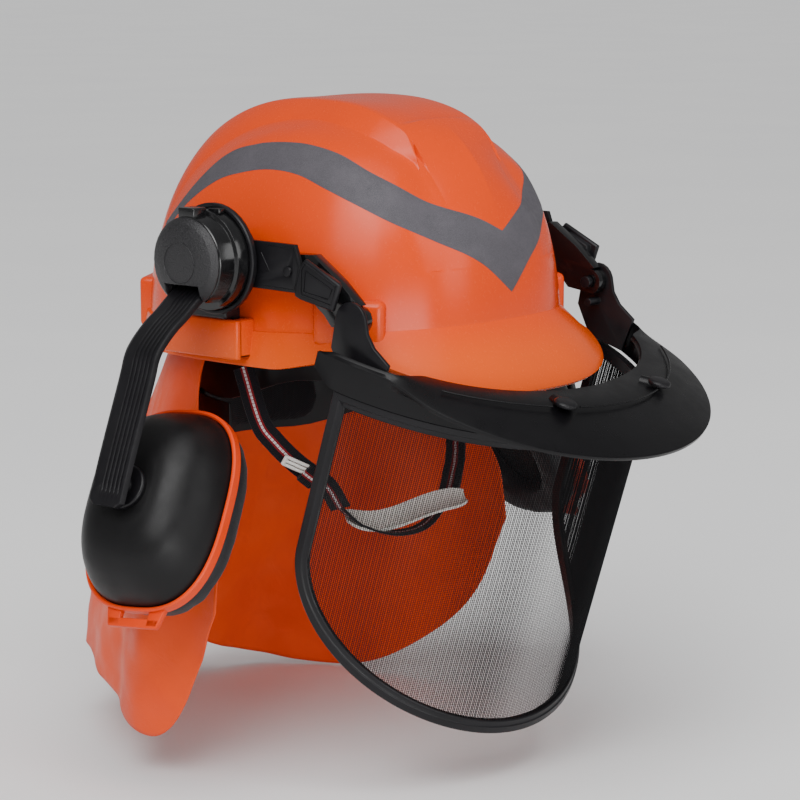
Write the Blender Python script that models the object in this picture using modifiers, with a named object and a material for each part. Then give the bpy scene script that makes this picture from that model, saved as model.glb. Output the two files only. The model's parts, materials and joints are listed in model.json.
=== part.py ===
"""Forestry helmet: safety helmet with ear muffs, flip-up mesh visor, suspension, chin strap and neck cape.

Frame: metres, +Z up, the wearer faces -Y and the wearer's left is +X.
The origin is the middle of the head opening, in the plane of the shell's side rim.
"""

import math

import bmesh
import bpy
from mathutils import Vector
from mathutils.bvhtree import BVHTree

MM = 0.001
GAP = 0.0003

# Shell, driving dimensions
DOME_HALF_WIDTH = 0.1021
DOME_FRONT = 0.1192
DOME_REAR = 0.1165
DOME_HEIGHT = 0.1400
PLAN_POWER = 2.57
HEIGHT_POWER = 2.60
ROUND_POWER = 2.73
SHELL_THICKNESS = 0.0028
CREASE_HEIGHT = 0.019
SKIRT_FLARE = 0.005
BRIM_HALF_WIDTH = 0.1039
BRIM_BACK_Y = -0.0312
BRIM_REACH = 0.1257
BRIM_BACK_Z = 0.0343
BRIM_TILT = math.radians(20.9)
CREST_HEIGHT = 0.0055

# Ear muffs
HUB_Y = -0.0025
HUB_Z = 0.060
HUB_INNER_X = 0.1056
ARM_WIDTH = 0.024
ARM_THICKNESS = 0.0045
ARM_HINGE = (0.130, HUB_Y, 0.046)
CUP_CENTRE = (0.159, 0.0, -0.075)
CUP_HALF_WIDTH = 0.0422
CUP_HALF_HEIGHT = 0.0562
CUP_DEPTH = 0.034
CUSHION_THICKNESS = 0.018
CUP_UP = (-0.505, 0.138, 0.852)
CUP_OUT = (0.848, -0.083, 0.516)

# Visor: a cylinder sector whose axis leans back towards the chin
VISOR_TILT = math.radians(17.2)
VISOR_RADIUS = 0.122
VISOR_TOP_Y = -0.0695
VISOR_TOP_Z = 0.0033
VISOR_HALF_ANGLE = math.radians(79.5)
VISOR_SIDE_LENGTH = 0.0935
VISOR_LENGTH = 0.185
VISOR_CURVE_POWER = 1.9
FRAME_WIDTH = 0.0075
FRAME_THICKNESS = 0.0050
SCREEN_THICKNESS = 0.0008
LIFT_PIVOT = (0.0, -0.0528, 0.0564)
TILT_PIVOT = (0.0, -0.0958, 0.0330)
PEAK_TIP = 0.159
PEAK_HALF_WIDTH = 0.116
PEAK_CENTRE = 0.059
STUD_ANGLE = math.radians(20.5)

# Suspension
BAND_HALF_WIDTH = 0.078
BAND_HALF_LENGTH = 0.097
BAND_THICKNESS = 0.002

ORANGE = (0.80, 0.13, 0.016)
CAPE_ORANGE = (0.80, 0.15, 0.035)
BLACK = (0.022, 0.021, 0.024)
SOFT_BLACK = (0.012, 0.012, 0.014)


# ---------------------------------------------------------------- helpers


def clear_scene():
    for item in list(bpy.data.objects):
        bpy.data.objects.remove(item, do_unlink=True)


def make_collection(name):
    collection = bpy.data.collections.new(name)
    bpy.context.scene.collection.children.link(collection)
    return collection


def material(name, colour, roughness, metallic=0.0):
    made = bpy.data.materials.new(name)
    made.use_nodes = True
    shader = made.node_tree.nodes["Principled BSDF"]
    shader.inputs["Base Color"].default_value = (*colour, 1.0)
    shader.inputs["Roughness"].default_value = roughness
    shader.inputs["Metallic"].default_value = metallic
    made.diffuse_color = (*colour, 1.0)
    return made


def smoothstep(low, high, value):
    t = min(max((value - low) / (high - low), 0.0), 1.0)
    return t * t * (3.0 - 2.0 * t)


def signed_power(value, power):
    return math.copysign(abs(value) ** power, value)


def interpolate(points, value):
    """Piecewise linear value from (x, y) points in rising x."""
    if value <= points[0][0]:
        return points[0][1]
    for (x0, y0), (x1, y1) in zip(points, points[1:]):
        if value <= x1:
            return y0 + (y1 - y0) * (value - x0) / (x1 - x0)
    return points[-1][1]


def spline(points, count):
    """Points at even parameter steps along a Catmull-Rom curve through the given ones."""
    pts = [Vector(p) for p in points]
    pts = [2 * pts[0] - pts[1]] + pts + [2 * pts[-1] - pts[-2]]
    spans = len(pts) - 3
    result = []
    for i in range(count):
        s = i / (count - 1) * spans
        k = min(int(s), spans - 1)
        t = s - k
        a, b, c, d = pts[k : k + 4]
        curve = (2 * a - 5 * b + 4 * c - d) * t**2 + (3 * b - a - 3 * c + d) * t**3
        result.append(0.5 * (2 * b + (c - a) * t + curve))
    return result


def add_object(name, mesh, mat, origin=(0, 0, 0), pivot=None, sharp=40):
    mesh.name = name
    made = bpy.data.objects.new(name, mesh)
    PART.objects.link(made)
    made.location = origin
    if pivot is not None:
        made.parent = pivot.empty
        made.location = Vector(origin) - pivot.world
    mesh.materials.append(mat)
    mesh.shade_smooth()
    mesh.set_sharp_from_angle(angle=math.radians(sharp))
    return made


class Pivot:
    """An empty on a joint's axis; moving pieces are parented to it."""

    def __init__(self, name, world, parent=None):
        self.world = Vector(world)
        self.empty = bpy.data.objects.new(name, None)
        self.empty.empty_display_size = 0.02
        PART.objects.link(self.empty)
        self.empty.location = self.world
        if parent is not None:
            self.empty.parent = parent.empty
            self.empty.location = self.world - parent.world


def mesh_from(bm):
    bmesh.ops.recalc_face_normals(bm, faces=bm.faces)
    mesh = bpy.data.meshes.new("part")
    bm.to_mesh(mesh)
    bm.free()
    return mesh


def skin(rings, origin, closed=False):
    """A closed solid through rings of world points, all rings having the same count."""
    bm = bmesh.new()
    base = Vector(origin)
    rows = [[bm.verts.new(Vector(p) - base) for p in ring] for ring in rings]
    count = len(rows[0])
    pairs = list(zip(rows, rows[1:]))
    if closed:
        pairs.append((rows[-1], rows[0]))
    for a, b in pairs:
        for i in range(count):
            j = (i + 1) % count
            bm.faces.new((a[i], a[j], b[j], b[i]))
    if not closed:
        bm.faces.new(rows[0])
        bm.faces.new(list(reversed(rows[-1])))
    return mesh_from(bm)


def band_rings(points, sides, normals, width, thickness):
    """Rectangular rings along a path: sides gives the width direction, normals the thickness."""
    rings = []
    for point, side, normal in zip(points, sides, normals):
        p, s, n = Vector(point), Vector(side).normalized(), Vector(normal).normalized()
        half = s * width / 2
        rings.append([p - half, p + half, p + half + n * thickness, p - half + n * thickness])
    return rings


def box_mesh(size, bevel=0.0, segments=1):
    bm = bmesh.new()
    bmesh.ops.create_cube(bm, size=1.0)
    bmesh.ops.scale(bm, vec=size, verts=bm.verts)
    if bevel:
        bmesh.ops.bevel(bm, geom=bm.edges[:], offset=bevel, segments=segments, affect="EDGES", profile=0.5)
    return mesh_from(bm)


def add_box(name, size, centre, mat, pivot=None, bevel=0.0, rotation=(0, 0, 0)):
    made = add_object(name, box_mesh(size, bevel), mat, centre, pivot)
    made.rotation_euler = rotation
    return made


def turned(name, profile, centre, axis, mat, pivot=None, steps=32):
    """A closed profile of (radius, height) points turned about an axis through centre."""
    mesh = bpy.data.meshes.new(name)
    verts = [(r, 0.0, h) for r, h in profile]
    mesh.from_pydata(verts, [(i, i + 1) for i in range(len(verts) - 1)], [])
    made = add_object(name, mesh, mat, centre, pivot)
    made.rotation_mode = "QUATERNION"
    made.rotation_quaternion = Vector((0, 0, 1)).rotation_difference(Vector(axis))
    screw = made.modifiers.new("turn", "SCREW")
    screw.steps = steps
    screw.render_steps = steps
    screw.use_merge_vertices = True
    screw.merge_threshold = 0.00001
    screw.use_normal_calculate = False
    screw.use_smooth_shade = True
    return made


def plate(name, outline, x_low, x_high, mat, origin, pivot=None, bevel=0.0):
    """A flat plate in a plane of constant x: outline is a list of (y, z) points."""
    bm = bmesh.new()
    base = Vector(origin)
    low = [bm.verts.new(Vector((x_low, y, z)) - base) for y, z in outline]
    face = bm.faces.new(low)
    grown = bmesh.ops.extrude_face_region(bm, geom=[face])
    moved = [g for g in grown["geom"] if isinstance(g, bmesh.types.BMVert)]
    bmesh.ops.translate(bm, verts=moved, vec=(x_high - x_low, 0, 0))
    if bevel:
        ring = [e for e in bm.edges if abs(e.verts[0].co.x - e.verts[1].co.x) < 1e-6]
        bmesh.ops.bevel(bm, geom=ring, offset=bevel, segments=1, affect="EDGES", profile=0.5)
    return add_object(name, mesh_from(bm), mat, origin, pivot, sharp=30)


def arc(centre, radius, start, end, count):
    """(y, z) points on an arc, angles in degrees from +y towards +z."""
    result = []
    for i in range(count):
        a = math.radians(start + (end - start) * i / (count - 1))
        result.append((centre[0] + radius * math.cos(a), centre[1] + radius * math.sin(a)))
    return result


def boolean(target, cutter, operation):
    """Join or cut target with a hidden guide object."""
    for collection in list(cutter.users_collection):
        collection.objects.unlink(cutter)
    CUTTERS.objects.link(cutter)
    cutter.hide_render = True
    cutter.display_type = "WIRE"
    change = target.modifiers.new(operation.lower(), "BOOLEAN")
    change.operation = operation
    change.object = cutter
    change.solver = "EXACT"


# ---------------------------------------------------------------- shell


def dome_scale(z):
    """How wide the dome is at height z, as a share of its width at the rim."""
    inside = 1.0 - min(max(z, 0.0) / DOME_HEIGHT, 1.0) ** HEIGHT_POWER
    return max(inside, 0.0) ** (1.0 / ROUND_POWER)


def plan_point(angle, half_width, front, rear, power=PLAN_POWER):
    """A point of the plan oval; angle 0 is the front, positive towards +X."""
    s, c = math.sin(angle), math.cos(angle)
    reach = front if c > 0 else rear
    return half_width * signed_power(s, 2 / power), -reach * signed_power(c, 2 / power)


def dome_point(angle, z):
    x, y = plan_point(angle, DOME_HALF_WIDTH, DOME_FRONT, DOME_REAR)
    k = dome_scale(z)
    return Vector((x * k, y * k, z))


def dome_normal(point):
    x, y, z = point
    reach = DOME_FRONT if y < 0 else DOME_REAR
    px = (abs(x) / DOME_HALF_WIDTH) ** PLAN_POWER
    py = (abs(y) / reach) ** PLAN_POWER
    rho = max(px + py, 1e-9)
    share = rho ** (ROUND_POWER / PLAN_POWER - 1)
    gx = math.copysign(share * (abs(x) / DOME_HALF_WIDTH) ** (PLAN_POWER - 1) / DOME_HALF_WIDTH, x)
    gy = math.copysign(share * (abs(y) / reach) ** (PLAN_POWER - 1) / reach, y)
    gz = HEIGHT_POWER / ROUND_POWER * (max(z, 0) / DOME_HEIGHT) ** (HEIGHT_POWER - 1) / DOME_HEIGHT
    return Vector((gx, gy, gz)).normalized()


def crest(x, y, z):
    """Height of the raised crown panel and of the keel in front of it."""
    if z < CREASE_HEIGHT:
        return 0.0
    outer = interpolate(((-0.081, 0.038), (-0.060, 0.046), (0.006, 0.049), (0.044, 0.062), (0.10, 0.075)), y)
    inner = outer - interpolate(((-0.081, 0.005), (-0.034, 0.013), (0.044, 0.016)), y)
    side = 1.0 - smoothstep(inner, outer, abs(x))
    front = smoothstep(-0.084, -0.070, y)
    rear = 1.0 - smoothstep(0.070, 0.108, y)
    keel = max(0.0, 1.0 - abs(x) / 0.028)
    keel *= smoothstep(-0.112, -0.090, y) * (1 - smoothstep(-0.074, -0.060, y))
    return CREST_HEIGHT * side * front * rear + 0.003 * keel


def brim_point(angle):
    s, c = abs(math.sin(angle)), max(math.cos(angle), 0.0)
    power = 2 / 2.58
    reach = BRIM_REACH * c**power
    x = math.copysign(BRIM_HALF_WIDTH * s**power, math.sin(angle))
    return Vector((x, BRIM_BACK_Y - reach * math.cos(BRIM_TILT), BRIM_BACK_Z - reach * math.sin(BRIM_TILT)))


def rim_point(angle):
    """The shell's lower edge: a short skirt at the sides and rear, the peak in front."""
    turn = math.degrees(abs(math.atan2(math.sin(angle), math.cos(angle))))
    x, y = plan_point(
        angle, DOME_HALF_WIDTH + SKIRT_FLARE, DOME_FRONT + SKIRT_FLARE, DOME_REAR + SKIRT_FLARE
    )
    weight = 1.0 - smoothstep(58, 80, turn)
    return Vector((x, y, 0.0)).lerp(brim_point(angle), weight)


def shell_point(angle, level):
    """Outer surface: level 0 is the lower edge, 1 the crease, then up to the crown."""
    if level <= 1.0:
        c = max(math.cos(angle), 0.0)
        crease = dome_point(angle, CREASE_HEIGHT + 0.006 * c)
        return rim_point(angle).lerp(crease, level)
    rise = (level - 1.0) / (SHELL_LEVELS - 1)
    low = math.asin((CREASE_HEIGHT + 0.006 * max(math.cos(angle), 0.0)) / DOME_HEIGHT)
    z = DOME_HEIGHT * math.sin(low + (math.pi / 2 - low) * rise)
    point = dome_point(angle, z)
    return point + dome_normal(point) * crest(*point)


SHELL_LEVELS = 11
SHELL_SIDES = 48


def build_shell():
    bm = bmesh.new()
    rows = []
    for level in range(SHELL_LEVELS):
        row = []
        for i in range(SHELL_SIDES):
            row.append(bm.verts.new(shell_point(2 * math.pi * (i + 0.5) / SHELL_SIDES, level)))
        rows.append(row)
    top = bm.verts.new(shell_point(0.0, SHELL_LEVELS))
    for low, high in zip(rows, rows[1:]):
        for i in range(SHELL_SIDES):
            j = (i + 1) % SHELL_SIDES
            bm.faces.new((low[i], low[j], high[j], high[i]))
    for i in range(SHELL_SIDES):
        bm.faces.new((rows[-1][i], rows[-1][(i + 1) % SHELL_SIDES], top))
    outside = BVHTree.FromBMesh(bm)
    shell = add_object("helmet_shell", mesh_from(bm), SHELL_PAINT)
    wall = shell.modifiers.new("wall", "SOLIDIFY")
    wall.thickness = SHELL_THICKNESS
    wall.offset = -1.0
    for side in (-1, 1):
        add_boss(shell, "ear", side, (0.0155, 0.057, 0.0222), (0.10825, 0.012, 0.0151), 0)
        add_boss(shell, "front", side, (0.0150, 0.0400, 0.0255), (0.0850, -0.0725, 0.0272), -27)
        add_boss(shell, "rear", side, (0.0140, 0.0300, 0.0290), (0.0600, 0.1010, 0.0225), 60)
        place = (side * 0.1082, 0.0043, 0.0240)
        slot = add_box(f"slot_guide_{side}", (0.0066, 0.0290, 0.0300), place, SHELL_PAINT)
        boolean(shell, slot, "DIFFERENCE")
    return outside


def add_boss(shell, name, side, size, centre, turn):
    """A solid moulded pad on the shell; turn is its bearing about the upright axis."""
    place = (side * centre[0], centre[1], centre[2])
    boss = add_box(f"{name}_boss_guide_{side}", size, place, SHELL_PAINT, bevel=0.002)
    boss.rotation_euler = (0, 0, side * math.radians(turn))
    boolean(shell, boss, "UNION")


def tape_edges(turn):
    """Heights of the reflective chevron's lower and upper edges at a plan angle in degrees."""
    lower = ((0, 39.3), (12, 57), (25, 71), (36, 80), (48, 91), (58, 98), (70, 104), (84, 106.5), (97, 104))
    lower += ((110, 97), (129, 74), (138, 58))
    upper = ((0, 73), (8, 80.5), (18, 88), (31, 98), (43, 108), (53, 115), (66, 120.5), (80, 122))
    upper += ((98, 119.5), (114, 112), (128, 89), (138, 74))
    return interpolate(lower, turn) * MM, interpolate(upper, turn) * MM


def turn_to_angle(turn):
    """Plan-oval parameter whose true bearing from the front is turn (degrees)."""
    low, high = 0.0, math.pi
    for _ in range(40):
        mid = (low + high) / 2
        x, y = plan_point(mid, DOME_HALF_WIDTH, DOME_FRONT, DOME_REAR)
        if math.degrees(math.atan2(x, -y)) < turn:
            low = mid
        else:
            high = mid
    return (low + high) / 2


def build_tape(outside):
    """The reflective chevron, laid on the outer surface of the shell."""
    rings = []
    steps = 36
    for i in range(-steps, steps + 1):
        turn = abs(i) / steps * 138
        low, high = tape_edges(turn)
        angle = math.copysign(turn_to_angle(turn), i)
        feet = []
        for share in (0, 0.33, 0.67, 1):
            point = dome_point(angle, low + (high - low) * share)
            normal = dome_normal(point)
            hit = outside.ray_cast(point + normal * 0.02, -normal)[0]
            feet.append((hit, normal))
        ring = [hit + normal * 0.0010 for hit, normal in feet]
        ring += [hit + normal * 0.0014 for hit, normal in reversed(feet)]
        rings.append(ring)
    add_object("reflective_tape", skin(rings, (0, 0, 0)), TAPE)


# ---------------------------------------------------------------- suspension


def oval(angle, half_width, half_length, z):
    return Vector((half_width * math.sin(angle), -half_length * math.cos(angle), z))


def oval_band(name, start, end, half_width, half_length, thickness, low, high, mat, count, pivot=None):
    """An upright band along part of an oval; low and high give its edges at a bearing in degrees."""
    rings = []
    for i in range(count):
        turn = start + (end - start) * i / (count - 1)
        a = math.radians(turn)
        inside = oval(a, half_width, half_length, 0)
        outside = oval(a, half_width + thickness, half_length + thickness, 0)
        rings.append(
            [
                (inside.x, inside.y, low(turn)),
                (outside.x, outside.y, low(turn)),
                (outside.x, outside.y, high(turn)),
                (inside.x, inside.y, high(turn)),
            ]
        )
    origin = (0, 0, 0) if pivot is None else tuple(pivot.world)
    full = abs(end - start) > 359
    mesh = skin(rings[:-1] if full else rings, origin, closed=full)
    return add_object(name, mesh, mat, origin, pivot)


def build_suspension():
    def lift(turn):
        """The band rises from the nape towards the brow."""
        return 0.018 * (1.0 - smoothstep(70, 112, turn if turn <= 180 else 360 - turn))

    oval_band(
        "headband", 0, 360, BAND_HALF_WIDTH, BAND_HALF_LENGTH, BAND_THICKNESS,
        lambda t: -0.028 + lift(t), lambda t: 0.002 + lift(t), HARNESS_PLASTIC, 49,
    )
    oval_band(
        "sweatband", -62, 62, BAND_HALF_WIDTH - 0.0038, BAND_HALF_LENGTH - 0.0038, 0.0035,
        lambda t: -0.008, lambda t: 0.018, PAD_CLOTH, 19,
    )
    lug_angles = (48, 132, 228, 312)
    for number, turn in enumerate(lug_angles):
        a = math.radians(turn)
        place = oval(a, BAND_HALF_WIDTH + 0.0045, BAND_HALF_LENGTH + 0.0045, -0.0022)
        facing = math.atan2(place.x / (BAND_HALF_WIDTH**2), -place.y / (BAND_HALF_LENGTH**2))
        side = "left" if place.x > 0 else "right"
        end = "front" if place.y < 0 else "rear"
        add_box(
            f"suspension_lug_{end}_{side}", (0.024, 0.0036, 0.0144), place, HARNESS_PLASTIC,
            bevel=0.001, rotation=(0, 0, facing),
        )
    for name, first, lift in (("crown_strap_lower", 48, 0.0), ("crown_strap_upper", 132, 0.0026)):
        build_crown_strap(name, first, lift)


def build_crown_strap(name, first, lift):
    """A textile strap over the head from one lug to the opposite one."""
    a = math.radians(first)
    foot = oval(a, BAND_HALF_WIDTH + 0.0040, BAND_HALF_LENGTH + 0.0040, 0)
    across = Vector((foot.x, foot.y, 0)).normalized()
    side = Vector((-across.y, across.x, 0))
    span = foot.length
    points, sides, normals = [], [], []
    count = 19
    for i in range(count):
        t = math.pi * i / (count - 1)
        rise = math.sin(t)
        flat = math.copysign(abs(math.cos(t)) ** 0.72, math.cos(t))
        points.append(across * span * flat + Vector((0, 0, 0.0056 + (0.098 + lift) * rise**0.8)))
    for i in range(count):
        ahead = points[min(i + 1, count - 1)] - points[max(i - 1, 0)]
        sides.append(side)
        normals.append(side.cross(ahead) if side.cross(ahead).dot(points[i]) > 0 else ahead.cross(side))
    add_object(name, skin(band_rings(points, sides, normals, 0.019, 0.0014), (0, 0, 0)), WEBBING)


def build_nape():
    slide = Pivot("nape_slide_guide", (0, BAND_HALF_LENGTH, -0.045))
    spin = Pivot("knob_axis_guide", (0, 0.1135, -0.048), slide)

    def drop(turn):
        return smoothstep(100, 150, turn if turn <= 180 else 360 - turn)

    oval_band(
        "nape_band", 104, 256, BAND_HALF_WIDTH + 0.0024, BAND_HALF_LENGTH + 0.0024, 0.0018,
        lambda t: -0.048 - 0.019 * drop(t), lambda t: -0.0290, HARNESS_PLASTIC, 25, slide,
    )
    oval_band(
        "nape_pad", 140, 220, BAND_HALF_WIDTH - 0.0027, BAND_HALF_LENGTH - 0.0027, 0.0048,
        lambda t: -0.062, lambda t: -0.032, PAD_CLOTH, 13, slide,
    )
    add_box(
        "ratchet_housing", (0.064, 0.010, 0.030), (0, 0.1065, -0.048), HARNESS_PLASTIC, slide, bevel=0.003
    )
    turned(
        "ratchet_knob", ((0.0, 0.0095), (0.0125, 0.0095), (0.0140, 0.0075), (0.0140, 0.0), (0.0, 0.0)),
        (0, 0.1118, -0.048), (0, 1, 0), BLACK_PLASTIC, spin, steps=24,
    )


# ---------------------------------------------------------------- chin strap and cape


def webbing(name, route, count, outward, width=0.0125, thickness=0.0016):
    """Flat webbing along a route; returns its places, width directions and outer normals."""
    points = spline(route, count)
    sides, normals = [], []
    for i, point in enumerate(points):
        ahead = points[min(i + 1, count - 1)] - points[max(i - 1, 0)]
        side = ahead.cross(Vector(outward)).normalized()
        sides.append(side)
        normals.append(side.cross(ahead).normalized())
    if normals[0].dot(Vector(outward)) < 0:
        normals = [-n for n in normals]
    rings = band_rings(points, sides, normals, width, thickness)
    add_object(name, skin(rings, (0, 0, 0)), WEBBING)
    return points, sides, normals


CHIN_RIGHT = (
    (-0.0870, 0.0060, -0.0050), (-0.0850, -0.0045, -0.0350), (-0.0815, -0.0125, -0.0465),
    (-0.0725, -0.0215, -0.0595), (-0.0560, -0.0285, -0.0735), (-0.0400, -0.0250, -0.0890),
)
CHIN_LEFT = (
    (0.0870, -0.0010, -0.0050), (0.0830, -0.0110, -0.0340), (0.0710, -0.0200, -0.0560),
    (0.0560, -0.0320, -0.0720), (0.0430, -0.0400, -0.0820), (0.0310, -0.0470, -0.0885),
)
SLIDER_STEP = 12


def build_chin_strap():
    for name, route, outward in (
        ("right", CHIN_RIGHT, (-0.86, -0.5, 0.0)),
        ("left", CHIN_LEFT, (0.85, 0.45, 0.0)),
    ):
        points, sides, normals = webbing(f"chin_strap_{name}", route, 21, outward)
        if name == "left":
            continue
        place, side, normal = points[SLIDER_STEP], sides[SLIDER_STEP], normals[SLIDER_STEP]
        ahead = normal.cross(side)
        long_way = (ahead * 0.96 - side * 0.28).normalized()
        short_way = normal.cross(long_way)
        rings = []
        for step, half in ((-0.0040, 0.0080), (-0.0028, 0.0094), (0.0028, 0.0094), (0.0040, 0.0080)):
            foot = place + short_way * step + normal * 0.0022
            rings.append([foot - long_way * half, foot + long_way * half])
            rings[-1] += [foot + long_way * half + normal * 0.0022, foot - long_way * half + normal * 0.0022]
        add_object(f"strap_slider_{name}", skin(rings, (0, 0, 0)), PALE_PLASTIC)
    build_chin_cup()


def build_chin_cup():
    """A thin saddle under the chin, turned towards the left front, its near edge lower."""
    yaw = math.radians(-30)
    along = Vector((math.cos(yaw), math.sin(yaw), 0.10)).normalized()
    across = Vector((-math.sin(yaw), math.cos(yaw), 0.62)).normalized()
    up = along.cross(across)
    centre = Vector((0, -0.040, -0.0985))
    rings = []
    for i in range(13):
        t = -1 + 2 * i / 12
        half = 0.0078 * math.sqrt(max(1 - (0.95 * t) ** 8, 0.05))
        middle = centre + along * 0.037 * t + up * (0.006 * t * t + 0.0034 * math.sin(3.2 * t))
        ring = []
        for share in (-1, -0.4, 0.4, 1):
            ring.append(middle + across * half * share - up * 0.003 * (1 - share**2))
        for share in (1, 0.4, -0.4, -1):
            ring.append(middle + across * half * share + up * (0.0018 - 0.003 * (1 - share**2)))
        rings.append(ring)
    add_object("chin_cup", skin(rings, (0, 0, 0)), PALE_PLASTIC)


CAPE_TOP = 0.012
CAPE_HEM_RIGHT = (
    (0, 0.200), (0.35, 0.188), (0.6, 0.197), (0.72, 0.203), (0.87, 0.213), (0.93, 0.185), (1, 0.125),
)
CAPE_HEM_LEFT = (
    (0, 0.200), (0.34, 0.228), (0.56, 0.238), (0.66, 0.233), (0.75, 0.219), (0.89, 0.183), (1, 0.122),
)


def cape_point(across, down):
    """Outer face of the neck cape: across -1 to 1 from right to left front edge, down 0 at the rim to 1."""
    hem = interpolate(CAPE_HEM_RIGHT if across < 0 else CAPE_HEM_LEFT, abs(across))
    z = -hem * down if down >= 0 else CAPE_TOP
    fall = min(max(-z, 0) / 0.150, 1.0)
    flare = 0.042 if across < 0 else 0.030
    width = 0.097 + flare * math.sin(fall * math.pi / 2)
    depth = 0.112 + 0.058 * max(-z, 0) / 0.175
    swing = 21 * smoothstep(0, 0.100, -z)
    bearing = math.radians(across * (75 + swing))
    return Vector((width * math.sin(bearing), depth * math.cos(bearing), z))


def build_cape():
    columns, rows = 28, 9
    bm = bmesh.new()
    grid = []
    for r in range(rows + 1):
        line = []
        for c in range(columns + 1):
            line.append(bm.verts.new(cape_point(-1 + 2 * c / columns, (r - 1) / (rows - 1))))
        grid.append(line)
    for r in range(rows):
        for c in range(columns):
            bm.faces.new((grid[r][c], grid[r + 1][c], grid[r + 1][c + 1], grid[r][c + 1]))
    cape = add_object("neck_cape", mesh_from(bm), CAPE_SHEET)
    sheet = cape.modifiers.new("sheet", "SOLIDIFY")
    sheet.thickness = 0.0015
    sheet.offset = 0.0
    for name, turn in (("rear", 180), ("right", 236), ("left", 124)):
        build_cape_stud(f"cape_stud_{name}", math.radians(turn))


def build_cape_stud(name, angle):
    """A press stud between the cape's top hem and the inside of the shell's skirt."""
    bearing = math.pi - angle
    out = Vector((math.sin(bearing) / 0.097, math.cos(bearing) / 0.112, 0)).normalized()
    face = Vector((0.097 * math.sin(bearing), 0.112 * math.cos(bearing), 0.0062)) + out * 0.0013
    turned(
        name, ((0.0, 0.0022), (0.0035, 0.0022), (0.0045, 0.0012), (0.0045, 0.0), (0.0, 0.0)),
        face, tuple(out), BLACK_PLASTIC, steps=16,
    )


# ---------------------------------------------------------------- ear muffs


ARM_ROUTE = (
    (0.1295, 0.0465), (0.1365, 0.0455), (0.1450, 0.0405), (0.1530, 0.0345), (0.1627, 0.0281),
    (0.1722, 0.0196), (0.1772, 0.0123), (0.1813, 0.0007), (0.1960, -0.0370), (0.2058, -0.0640),
)


class MuffFrame:
    """Local frame of one ear cup: forward, up and outward, from the middle of its rim."""

    def __init__(self, sign):
        self.sign = sign
        self.centre = Vector((sign * CUP_CENTRE[0], CUP_CENTRE[1], CUP_CENTRE[2]))
        self.out = Vector((sign * CUP_OUT[0], CUP_OUT[1], CUP_OUT[2])).normalized()
        self.up = Vector((sign * CUP_UP[0], CUP_UP[1], CUP_UP[2]))
        self.up = (self.up - self.out * self.up.dot(self.out)).normalized()
        self.forward = self.up.cross(self.out)
        if self.forward.y > 0:
            self.forward = -self.forward

    def at(self, forward, up, out):
        return self.centre + self.forward * forward + self.up * up + self.out * out

    def oval(self, half_width, half_height, out, count=28, power=2.5):
        ring = []
        for i in range(count):
            a = 2 * math.pi * i / count
            ring.append(
                self.at(
                    half_width * signed_power(math.sin(a), 2 / power),
                    half_height * signed_power(math.cos(a), 2 / power),
                    out,
                )
            )
        return ring


def build_muff(side, sign):
    hub = Pivot(f"muff_hub_axis_{side}", (sign * HUB_INNER_X, HUB_Y, HUB_Z))
    hinge = Pivot(f"muff_arm_hinge_{side}", (sign * ARM_HINGE[0], ARM_HINGE[1], ARM_HINGE[2]), hub)
    frame = MuffFrame(sign)
    slide = Pivot(f"muff_slide_guide_{side}", frame.at(0, 0, CUP_DEPTH + 0.004), hinge)
    tilt = Pivot(f"muff_cup_axis_{side}", frame.at(0, 0, CUP_DEPTH + 0.004), slide)
    build_adapter(side, sign)
    build_hub_body(side, sign, hub)
    build_arm(side, sign, hinge)
    build_carrier(side, sign, slide)
    build_cup(side, frame, tilt)


def build_adapter(side, sign):
    """The blade that pushes into the shell's slot, with the disc and flange that carry the hub."""
    adapter = turned(
        f"muff_adapter_{side}",
        (
            (0.0, 0.0127), (0.0286, 0.0127), (0.0286, 0.0147), (0.0300, 0.0147), (0.0308, 0.0141),
            (0.0308, 0.0115), (0.0150, 0.0115), (0.0150, 0.0052), (0.0210, 0.0052), (0.0210, 0.0), (0.0, 0.0),
        ),
        (sign * HUB_INNER_X, HUB_Y, HUB_Z), (sign, 0, 0), BLACK_PLASTIC, steps=36,
    )
    blade = add_box(
        f"blade_guide_{side}", (0.0050, 0.0270, 0.0340), (sign * 0.1082, 0.0043, 0.0275), BLACK_PLASTIC
    )
    boolean(adapter, blade, "UNION")
    block = add_box(
        f"block_guide_{side}", (0.0122, 0.0276, 0.0114), (sign * 0.1117, 0.0043, 0.0323), BLACK_PLASTIC,
        bevel=0.0012,
    )
    boolean(adapter, block, "UNION")


def build_hub_body(side, sign, hub):
    axis = (sign, 0, 0)
    housing = turned(
        f"hub_housing_{side}",
        (
            (0.0, 0.0209), (0.0243, 0.0209), (0.0249, 0.0203), (0.0254, 0.0100), (0.0275, 0.0096),
            (0.0281, 0.0040), (0.0281, 0.0), (0.0, 0.0),
        ),
        (sign * 0.1186, HUB_Y, HUB_Z), axis, BLACK_GLOSS, hub, steps=36,
    )
    notch = add_box(
        f"housing_notch_guide_{side}", (0.024, 0.0252, 0.0260), (sign * 0.1362, HUB_Y, 0.0350), BLACK_GLOSS
    )
    boolean(housing, notch, "DIFFERENCE")
    cap = turned(
        f"hub_cap_{side}",
        (
            (0.0, 0.0064), (0.0112, 0.0062), (0.0160, 0.0054), (0.0215, 0.0036), (0.0243, 0.0010),
            (0.0246, 0.0), (0.0, 0.0),
        ),
        (sign * 0.1398, HUB_Y, HUB_Z), axis, TEXTURED_PLASTIC, hub, steps=36,
    )
    cut = add_box(
        f"cap_notch_guide_{side}", (0.020, 0.0252, 0.0260), (sign * 0.1450, HUB_Y, 0.0350), BLACK_GLOSS
    )
    boolean(cap, cut, "DIFFERENCE")


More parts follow.
